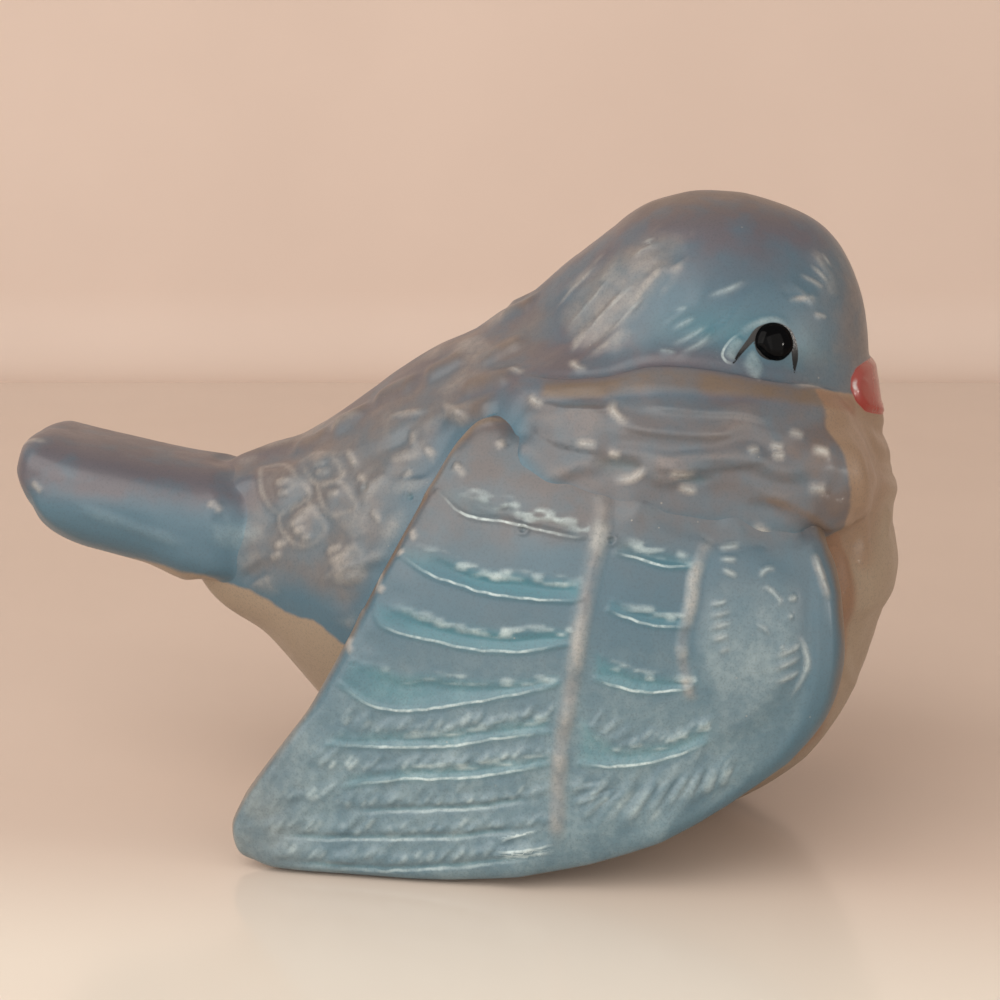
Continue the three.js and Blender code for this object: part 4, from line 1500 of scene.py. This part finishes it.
def seen(colour):
    """A colour as the eye sees it, turned into the sums that light follows."""
    shares = [part / 255 for part in colour]
    return (*[s / 12.92 if s <= 0.04045 else ((s + 0.055) / 1.055) ** 2.4 for s in shares], 1)


def node(tree, kind, inputs=None, **settings):
    """A new node. Each of its inputs is joined to a socket or set to a value."""
    made = tree.nodes.new(kind)
    for name, value in settings.items():
        setattr(made, name, value)
    for name, value in (inputs or {}).items():
        if isinstance(value, bpy.types.NodeSocket):
            tree.links.new(value, made.inputs[name])
        else:
            made.inputs[name].default_value = value
    return made


def sums(tree, operation, *values):
    return node(tree, "ShaderNodeMath", dict(enumerate(values)), operation=operation).outputs[0]


def mixed(tree, share, under, over):
    return node(tree, "ShaderNodeMix", {0: share, 6: under, 7: over}, data_type="RGBA").outputs[2]


def spread(tree, value, low, high, to_low=0.0, to_high=1.0):
    """A value's range from low to high stretched to a new range, with soft ends."""
    inputs = {"Value": value, "From Min": low, "From Max": high, "To Min": to_low, "To Max": to_high}
    return node(tree, "ShaderNodeMapRange", inputs, interpolation_type="SMOOTHSTEP").outputs[0]


def mask(tree, name):
    return node(tree, "ShaderNodeAttribute", attribute_name=name).outputs["Fac"]


def place(tree):
    return node(tree, "ShaderNodeTexCoord").outputs["Object"]


def noise(tree, size, detail=3.0, rough=0.5):
    """Cloudy noise whose blotches are about size mm wide."""
    inputs = {"Vector": place(tree), "Scale": 1 / (size * MM), "Detail": detail, "Roughness": rough}
    return node(tree, "ShaderNodeTexNoise", inputs).outputs["Fac"]


def new_group(name, inputs, outputs):
    """An empty node group with named inputs, each with its starting value, and named outputs."""
    tree = bpy.data.node_groups.new(name, "ShaderNodeTree")
    for label, start in inputs.items():
        kind = "NodeSocketColor" if isinstance(start, tuple) else "NodeSocketFloat"
        tree.interface.new_socket(label, in_out="INPUT", socket_type=kind).default_value = start
    for label, kind in outputs.items():
        tree.interface.new_socket(label, in_out="OUTPUT", socket_type=kind)
    return tree, tree.nodes.new("NodeGroupInput").outputs, tree.nodes.new("NodeGroupOutput")


# Among the glazes, the pinkish is painted sheen and much of the pale is painted highlight and light. Among
# the paints, the orange-brown is the wing's painted shadow and the near-white a painted highlight.
GLAZES = {"Blue": BLUE, "Teal": TEAL, "Mauve": MAUVE, "Brown": BROWN, "Pale": PALE, "Blush": BLUSH}
PAINTS = {"Cream": CREAM, "Toast": TOAST, "Coral": CORAL, "Ink": INK, "Glint": GLINT}
CRUMBLY = ("Pale", "Blush")

# How strong the mottle is, the sizes of the blotches in mm, and the middling range of a noise
MOTTLE = 0.25
MOTTLE_SIZE = 6
MOTTLE_GAIN = 1.5
CRUMB_SIZE = 1.3
CREST_BREAK_SIZE = 1.8
MIDDLING = (0.3, 0.7)


def sprayed(tree, given):
    """The sprayed glazes and the painted light over the blue, each mottled where it is thin. The pale and
    the pinkish painted sheen crumble as well.
    """
    cloud = spread(tree, noise(tree, MOTTLE_SIZE), *MIDDLING, to_low=-1.0, to_high=1.0)
    uneven = sums(tree, "MULTIPLY", cloud, given["Mottle"])
    crumbs = noise(tree, CRUMB_SIZE, detail=2.0)
    crumbs = spread(tree, crumbs, low=0.35, high=0.65, to_low=0.75, to_high=1.1)
    colour = given["Blue"]
    for label in list(GLAZES)[1:]:
        amount = mask(tree, label.lower())
        if label in CRUMBLY:
            amount = sums(tree, "MULTIPLY", amount, crumbs)
        thin = sums(tree, "MULTIPLY", uneven, sums(tree, "MULTIPLY", amount, MOTTLE_GAIN))
        share = node(tree, "ShaderNodeMath", {0: amount, 1: thin}, operation="ADD", use_clamp=True)
        colour = mixed(tree, share.outputs[0], colour, given[label])
    return colour


def wavering(tree, name, size, reach, detail=3.0):
    """The distance to a brushed edge or a crest, in mm, set off by up to half the reach to either side."""
    wander = sums(tree, "SUBTRACT", noise(tree, size, detail), 0.5)
    return sums(tree, "ADD", mask(tree, name), sums(tree, "MULTIPLY", wander, reach))


def edged(tree, distance, half):
    """Full inside a brushed edge and nothing outside it, with a soft band of half to each side, in mm."""
    return spread(tree, distance, -half, half)


def shining_crest(tree):
    """The painted highlight: a thin bright line along a crest, broken here and there."""
    offset = sums(tree, "ABSOLUTE", wavering(tree, "crest", size=2.2, reach=0.5, detail=0.0))
    thin = spread(tree, offset, low=0.08, high=0.36, to_low=1.0, to_high=0.0)
    broken = spread(tree, noise(tree, CREST_BREAK_SIZE), low=0.38, high=0.62, to_low=0.4, to_high=1.0)
    return sums(tree, "MULTIPLY", sums(tree, "MULTIPLY", thin, mask(tree, "shine")), broken)


COAT = 0.4
COAT_LOST_TO_INK = 0.25


def sprayed_colour_group():
    """The sprayed and brushed colours and the painted light over one another, and where they are glossy and
    coated.
    """
    colours = {label: seen(colour) for label, colour in {**GLAZES, **PAINTS}.items()}
    tree, given, result = new_group(
        "sprayed colour", {**colours, "Mottle": MOTTLE},
        {"Colour": "NodeSocketColor", "Gloss": "NodeSocketFloat", "Coat": "NodeSocketFloat"},
    )
    cream = edged(tree, wavering(tree, "cream", size=2.5, reach=0.7), half=0.35)
    coral = edged(tree, mask(tree, "coral"), half=0.12)
    ink = edged(tree, mask(tree, "ink"), half=0.1)
    # on the cream, the brown turns orange-brown: the painted shadow of the wing beside it
    breast = mixed(tree, mask(tree, "brown"), given["Cream"], given["Toast"])
    # on the bill, the pinkish is a painted highlight over the coral
    bill = mixed(tree, mask(tree, "blush"), given["Coral"], given["Blush"])
    # the thin bright line is a painted highlight along the crests
    layers = ((cream, breast), (coral, bill), (shining_crest(tree), given["Glint"]), (ink, given["Ink"]))
    colour = sprayed(tree, given)
    for share, glaze in layers:
        colour = mixed(tree, share, colour, glaze)
    coat = sums(tree, "SUBTRACT", COAT, sums(tree, "MULTIPLY", ink, COAT_LOST_TO_INK))
    tree.links.new(colour, result.inputs["Colour"])
    tree.links.new(sums(tree, "MAXIMUM", coral, ink), result.inputs["Gloss"])
    tree.links.new(coat, result.inputs["Coat"])
    return tree


# Sizes in the surface of the glaze, in mm, then how high its grain stands and how rough its speckle is
GRAIN_SIZE = 0.35
SPECK_SPACING = 3.5
DUSTY_SIZE = 14
RIPPLE_SIZE = 5
WORN_SIZE = 9
GRAIN_HEIGHT = 0.06
SPECKLE_ROUGHNESS = 0.2


def glaze_skin_group():
    """The surface of the glaze: spray speckle, dust specks, and the ripple of the casting."""
    outputs = ("Speckle", "Dust", "Roughness", "Height")
    tree, given, result = new_group(
        "glaze skin", {"Speckle": 0.24, "Dust": 0.5, "Ripple": 0.6, "Gloss": 0.45},
        {label: "NodeSocketFloat" for label in outputs},
    )
    fine = noise(tree, GRAIN_SIZE, detail=2.0)
    speckle = sums(tree, "MULTIPLY", spread(tree, fine, low=0.45, high=0.75), given["Speckle"])
    spacing = {"Vector": place(tree), "Scale": 1 / (SPECK_SPACING * MM), "Randomness": 1.0}
    cells = node(tree, "ShaderNodeTexVoronoi", spacing)
    specks = spread(tree, cells.outputs["Distance"], low=0.02, high=0.07, to_low=1.0, to_high=0.0)
    dusty = spread(tree, noise(tree, DUSTY_SIZE), low=0.5, high=0.65)
    dust = sums(tree, "MULTIPLY", sums(tree, "MULTIPLY", specks, dusty), given["Dust"])
    ripple = sums(tree, "MULTIPLY", noise(tree, RIPPLE_SIZE, detail=2.0), given["Ripple"])
    height = sums(tree, "ADD", ripple, sums(tree, "MULTIPLY", fine, GRAIN_HEIGHT))
    worn = spread(tree, noise(tree, WORN_SIZE), *MIDDLING, to_low=-0.06, to_high=0.08)
    rough = sums(tree, "ADD", given["Gloss"], worn)
    rough = sums(tree, "ADD", rough, sums(tree, "MULTIPLY", speckle, SPECKLE_ROUGHNESS))
    for label, value in zip(outputs, (speckle, dust, rough, height)):
        tree.links.new(value, result.inputs[label])
    return tree


def new_material(name):
    material = bpy.data.materials.new(name)
    material.use_nodes = True
    tree = material.node_tree
    tree.nodes.clear()
    shader = tree.nodes.new("ShaderNodeBsdfPrincipled")
    output = tree.nodes.new("ShaderNodeOutputMaterial")
    tree.links.new(shader.outputs[0], output.inputs["Surface"])
    return material, tree, shader


SPECKLE_COLOUR = (50, 60, 66)
DUST_COLOUR = (168, 160, 150)
BUMP_DEPTH = 0.6 * MM
GLOSSY_SHARE = 0.5


def satin_glaze(name, colour_group, skin_group, coat_rough=0.27, bump=0.4, sheer=0.5, **values):
    """A satin glaze in the sprayed colours and painted light. Sheer is how much light the glaze under the
    coat throws back.
    """
    material, tree, shader = new_material(name)
    colours = node(tree, "ShaderNodeGroup", node_tree=colour_group)
    skin = node(tree, "ShaderNodeGroup", node_tree=skin_group)
    for label, value in values.items():
        holder = colours if label in colours.inputs else skin
        holder.inputs[label].default_value = value
    plain = sums(tree, "SUBTRACT", 1.0, colours.outputs["Gloss"])
    speckle = sums(tree, "MULTIPLY", skin.outputs["Speckle"], plain)
    darker = mixed(tree, speckle, colours.outputs["Colour"], seen(SPECKLE_COLOUR))
    dusty = mixed(tree, skin.outputs["Dust"], darker, seen(DUST_COLOUR))
    glossed = spread(tree, plain, low=0.0, high=1.0, to_low=GLOSSY_SHARE)
    rough = sums(tree, "MULTIPLY", skin.outputs["Roughness"], glossed)
    relief = {"Height": skin.outputs["Height"], "Strength": bump, "Distance": BUMP_DEPTH}
    tree.links.new(dusty, shader.inputs["Base Color"])
    tree.links.new(rough, shader.inputs["Roughness"])
    tree.links.new(colours.outputs["Coat"], shader.inputs["Coat Weight"])
    tree.links.new(node(tree, "ShaderNodeBump", relief).outputs["Normal"], shader.inputs["Normal"])
    shader.inputs["Coat Roughness"].default_value = coat_rough
    shader.inputs["Specular IOR Level"].default_value = sheer
    return material


# The studio

AIR = (248, 242, 236)
AIR_STRENGTH = 0.4
FLOOR = (206, 187, 173)
FLOOR_FRONT = (229, 219, 206)
FLOOR_GLOSS = 0.15
WALL = (211, 190, 176)
WALL_GLOSS = 0.8
FRONT_BEGINS = -20 * MM
FRONT_FULL = -90 * MM
PAINT_CLOUD_SIZE = 120
PAINT_CLOUD_LIFT = 4
WALL_DISTANCE = 500 * MM
WALL_BEND = 30 * MM
WALL_BEND_STEPS = 8
STUDIO_DEPTH = 1.6
STUDIO_HALF_WIDTH = 2.4

# Places in mm from the frame's origin, sizes in metres and power in watts
LAMPS = {
    "window": dict(place_mm=(-450, -600, 560), size=1.2, power=10.3, colour=(255, 250, 244)),
    "side lamp": dict(place_mm=(700, -620, 260), size=0.9, power=2.9, colour=(255, 248, 240)),
    "front lamp": dict(place_mm=(150, -900, 240), size=1.0, power=2.1, colour=(255, 252, 248)),
    "bulb": dict(place_mm=(950, -300, 230), size=0.06, power=0.8, colour=(255, 248, 240)),
}


def one_sided(tree, shader):
    """Clears a surface away where it is seen from behind, so that no view is blocked."""
    back = tree.nodes.new("ShaderNodeNewGeometry").outputs["Backfacing"]
    clear = tree.nodes.new("ShaderNodeBsdfTransparent")
    mix = node(tree, "ShaderNodeMixShader", {0: back, 1: shader.outputs[0], 2: clear.outputs[0]})
    tree.links.new(mix.outputs[0], tree.nodes["Material Output"].inputs["Surface"])


def studio_paint(name, colour, front_colour, gloss):
    """A plain pale paint that turns into another one in front of the bird."""
    material, tree, shader = new_material(name)
    cloud = spread(tree, noise(tree, PAINT_CLOUD_SIZE), *MIDDLING)
    pale = mixed(tree, cloud, seen(colour), seen([part + PAINT_CLOUD_LIFT for part in colour]))
    depth = node(tree, "ShaderNodeSeparateXYZ", {0: place(tree)}).outputs["Y"]
    pale = mixed(tree, spread(tree, depth, FRONT_BEGINS, FRONT_FULL), pale, seen(front_colour))
    tree.links.new(pale, shader.inputs["Base Color"])
    shader.inputs["Roughness"].default_value = gloss
    one_sided(tree, shader)
    return material


def stage_profile():
    """The floor, the bend and the wall from the side: how far behind the bird and how high each point is."""
    profile = [(-STUDIO_DEPTH, 0), (WALL_DISTANCE - WALL_BEND, 0)]
    for step in range(1, WALL_BEND_STEPS + 1):
        turn = math.pi / 2 * step / WALL_BEND_STEPS
        back = WALL_DISTANCE - WALL_BEND + WALL_BEND * math.sin(turn)
        profile.append((back, WALL_BEND * (1 - math.cos(turn))))
    profile.append((WALL_DISTANCE, STUDIO_DEPTH))
    return profile


def make_stage():
    """A floor that bends up into a wall behind the bird, square to the camera."""
    ahead = np.array([sight[0], sight[1], 0]) / math.hypot(sight[0], sight[1])
    points = []
    for back, high in stage_profile():
        middle = np.array([CAMERA_TARGET[0], 0, high]) + ahead * back
        for side in (-1, 1):
            points.append(tuple(middle + rightward * side * STUDIO_HALF_WIDTH))
    faces = [(i, i + 1, i + 3, i + 2) for i in range(0, len(points) - 2, 2)]
    mesh = bpy.data.meshes.new("studio")
    mesh.from_pydata(points, [], faces)
    mesh.materials.append(studio_paint("pale shelf", FLOOR, FLOOR_FRONT, FLOOR_GLOSS))
    mesh.materials.append(studio_paint("pale wall", WALL, WALL, WALL_GLOSS))
    for polygon in mesh.polygons:
        polygon.material_index = int(polygon.index > 0)
        polygon.use_smooth = True
    new_piece("studio", mesh)


def add_light(name, place_mm, size, power, colour):
    light = bpy.data.lights.new(name, "AREA")
    light.energy = power
    light.size = size
    light.color = seen(colour)[:3]
    lamp = bpy.data.objects.new(name, light)
    bpy.context.scene.collection.objects.link(lamp)
    lamp.location = Vector(place_mm) * MM
    aim = Vector(CAMERA_TARGET) - lamp.location
    lamp.rotation_euler = aim.to_track_quat("-Z", "Y").to_euler()


def light_studio():
    world = bpy.data.worlds.new("studio air")
    bpy.context.scene.world = world
    world.use_nodes = True
    air = world.node_tree.nodes["Background"]
    air.inputs["Color"].default_value = seen(AIR)
    air.inputs["Strength"].default_value = AIR_STRENGTH
    for name, lamp in LAMPS.items():
        add_light(name, **lamp)
    bpy.context.scene.view_settings.view_transform = "Standard"


# The whole bird

def dress(piece, material, material_slot, *nodes):
    piece.data.materials.clear()
    piece.data.materials.append(material)
    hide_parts(*nodes)
    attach(piece, "root")


CROWN_BROWN_FACING = (0.75, 1.0)
TAIL_SEAT = dict(reach=3.0, press=0.1, spared=2.0)


def model_body(body, wing_tree):
    model_cape(body, wing_tree)
    model_back(body)
    model_head(body)
    model_eye_socket(body)
    model_face(body)
    shape_front(body)
    shape_crown(body)
    model_breast(body)
    spray_rump(body)
    spray_mauve(body)
    # brown on what faces straight up: a painted warm reflection along the top
    body.spray(smoothstep(*CROWN_BROWN_FACING, body.normals[:, 2]), brown=0.45)
    body.finish()


def make_bird():
    colours = sprayed_colour_group()
    skin = glaze_skin_group()
    body_glaze = satin_glaze("body glaze", colours, skin)
    wing_glaze = satin_glaze("wing glaze", colours, skin)
    tail_glaze = satin_glaze("tail glaze", colours, skin)
    bill_glaze = satin_glaze("coral bill glaze", colours, skin, Speckle=0.0)
    plain = {"Speckle": 0.0, "Dust": 0.0, "Ripple": 0.0}
    eye_glaze = satin_glaze("black eye glaze", colours, skin, coat_rough=0.08, bump=0.0, sheer=0.0, **plain)

    body = make_body()
    wing = plain_wing()
    model_body(body, wing.tree)
    body_tree = tree_of(body.piece.data)
    dress(body.piece, body_glaze, "body_glaze", "body_shell")

    tail = make_tail(body_tree)
    tail.finish()
    seat(tail.piece, body_tree, **TAIL_SEAT)
    dress(tail.piece, tail_glaze, "tail_glaze", "tail")

    model_wing(wing)
    wing.finish()
    seat(wing.piece, body_tree)
    left_wing = mirror_of(wing.piece, "left_wing_slab")
    dress(wing.piece, wing_glaze, "wing_glaze", "right_wing")
    dress(left_wing, wing_glaze, "wing_glaze", "left_wing")

    bill = make_bill(body_tree)
    bill.finish()
    dress(bill.piece, bill_glaze, "beak_glaze", "beak")

    eye = make_eye(body.tree)
    eye.finish()
    left_eye = mirror_of(eye.piece, "left_eye_bead")
    dress(eye.piece, eye_glaze, "eye_glaze", "right_eye")
    dress(left_eye, eye_glaze, "eye_glaze", "left_eye")


make_bird()
make_stage()
light_studio()
add_camera()
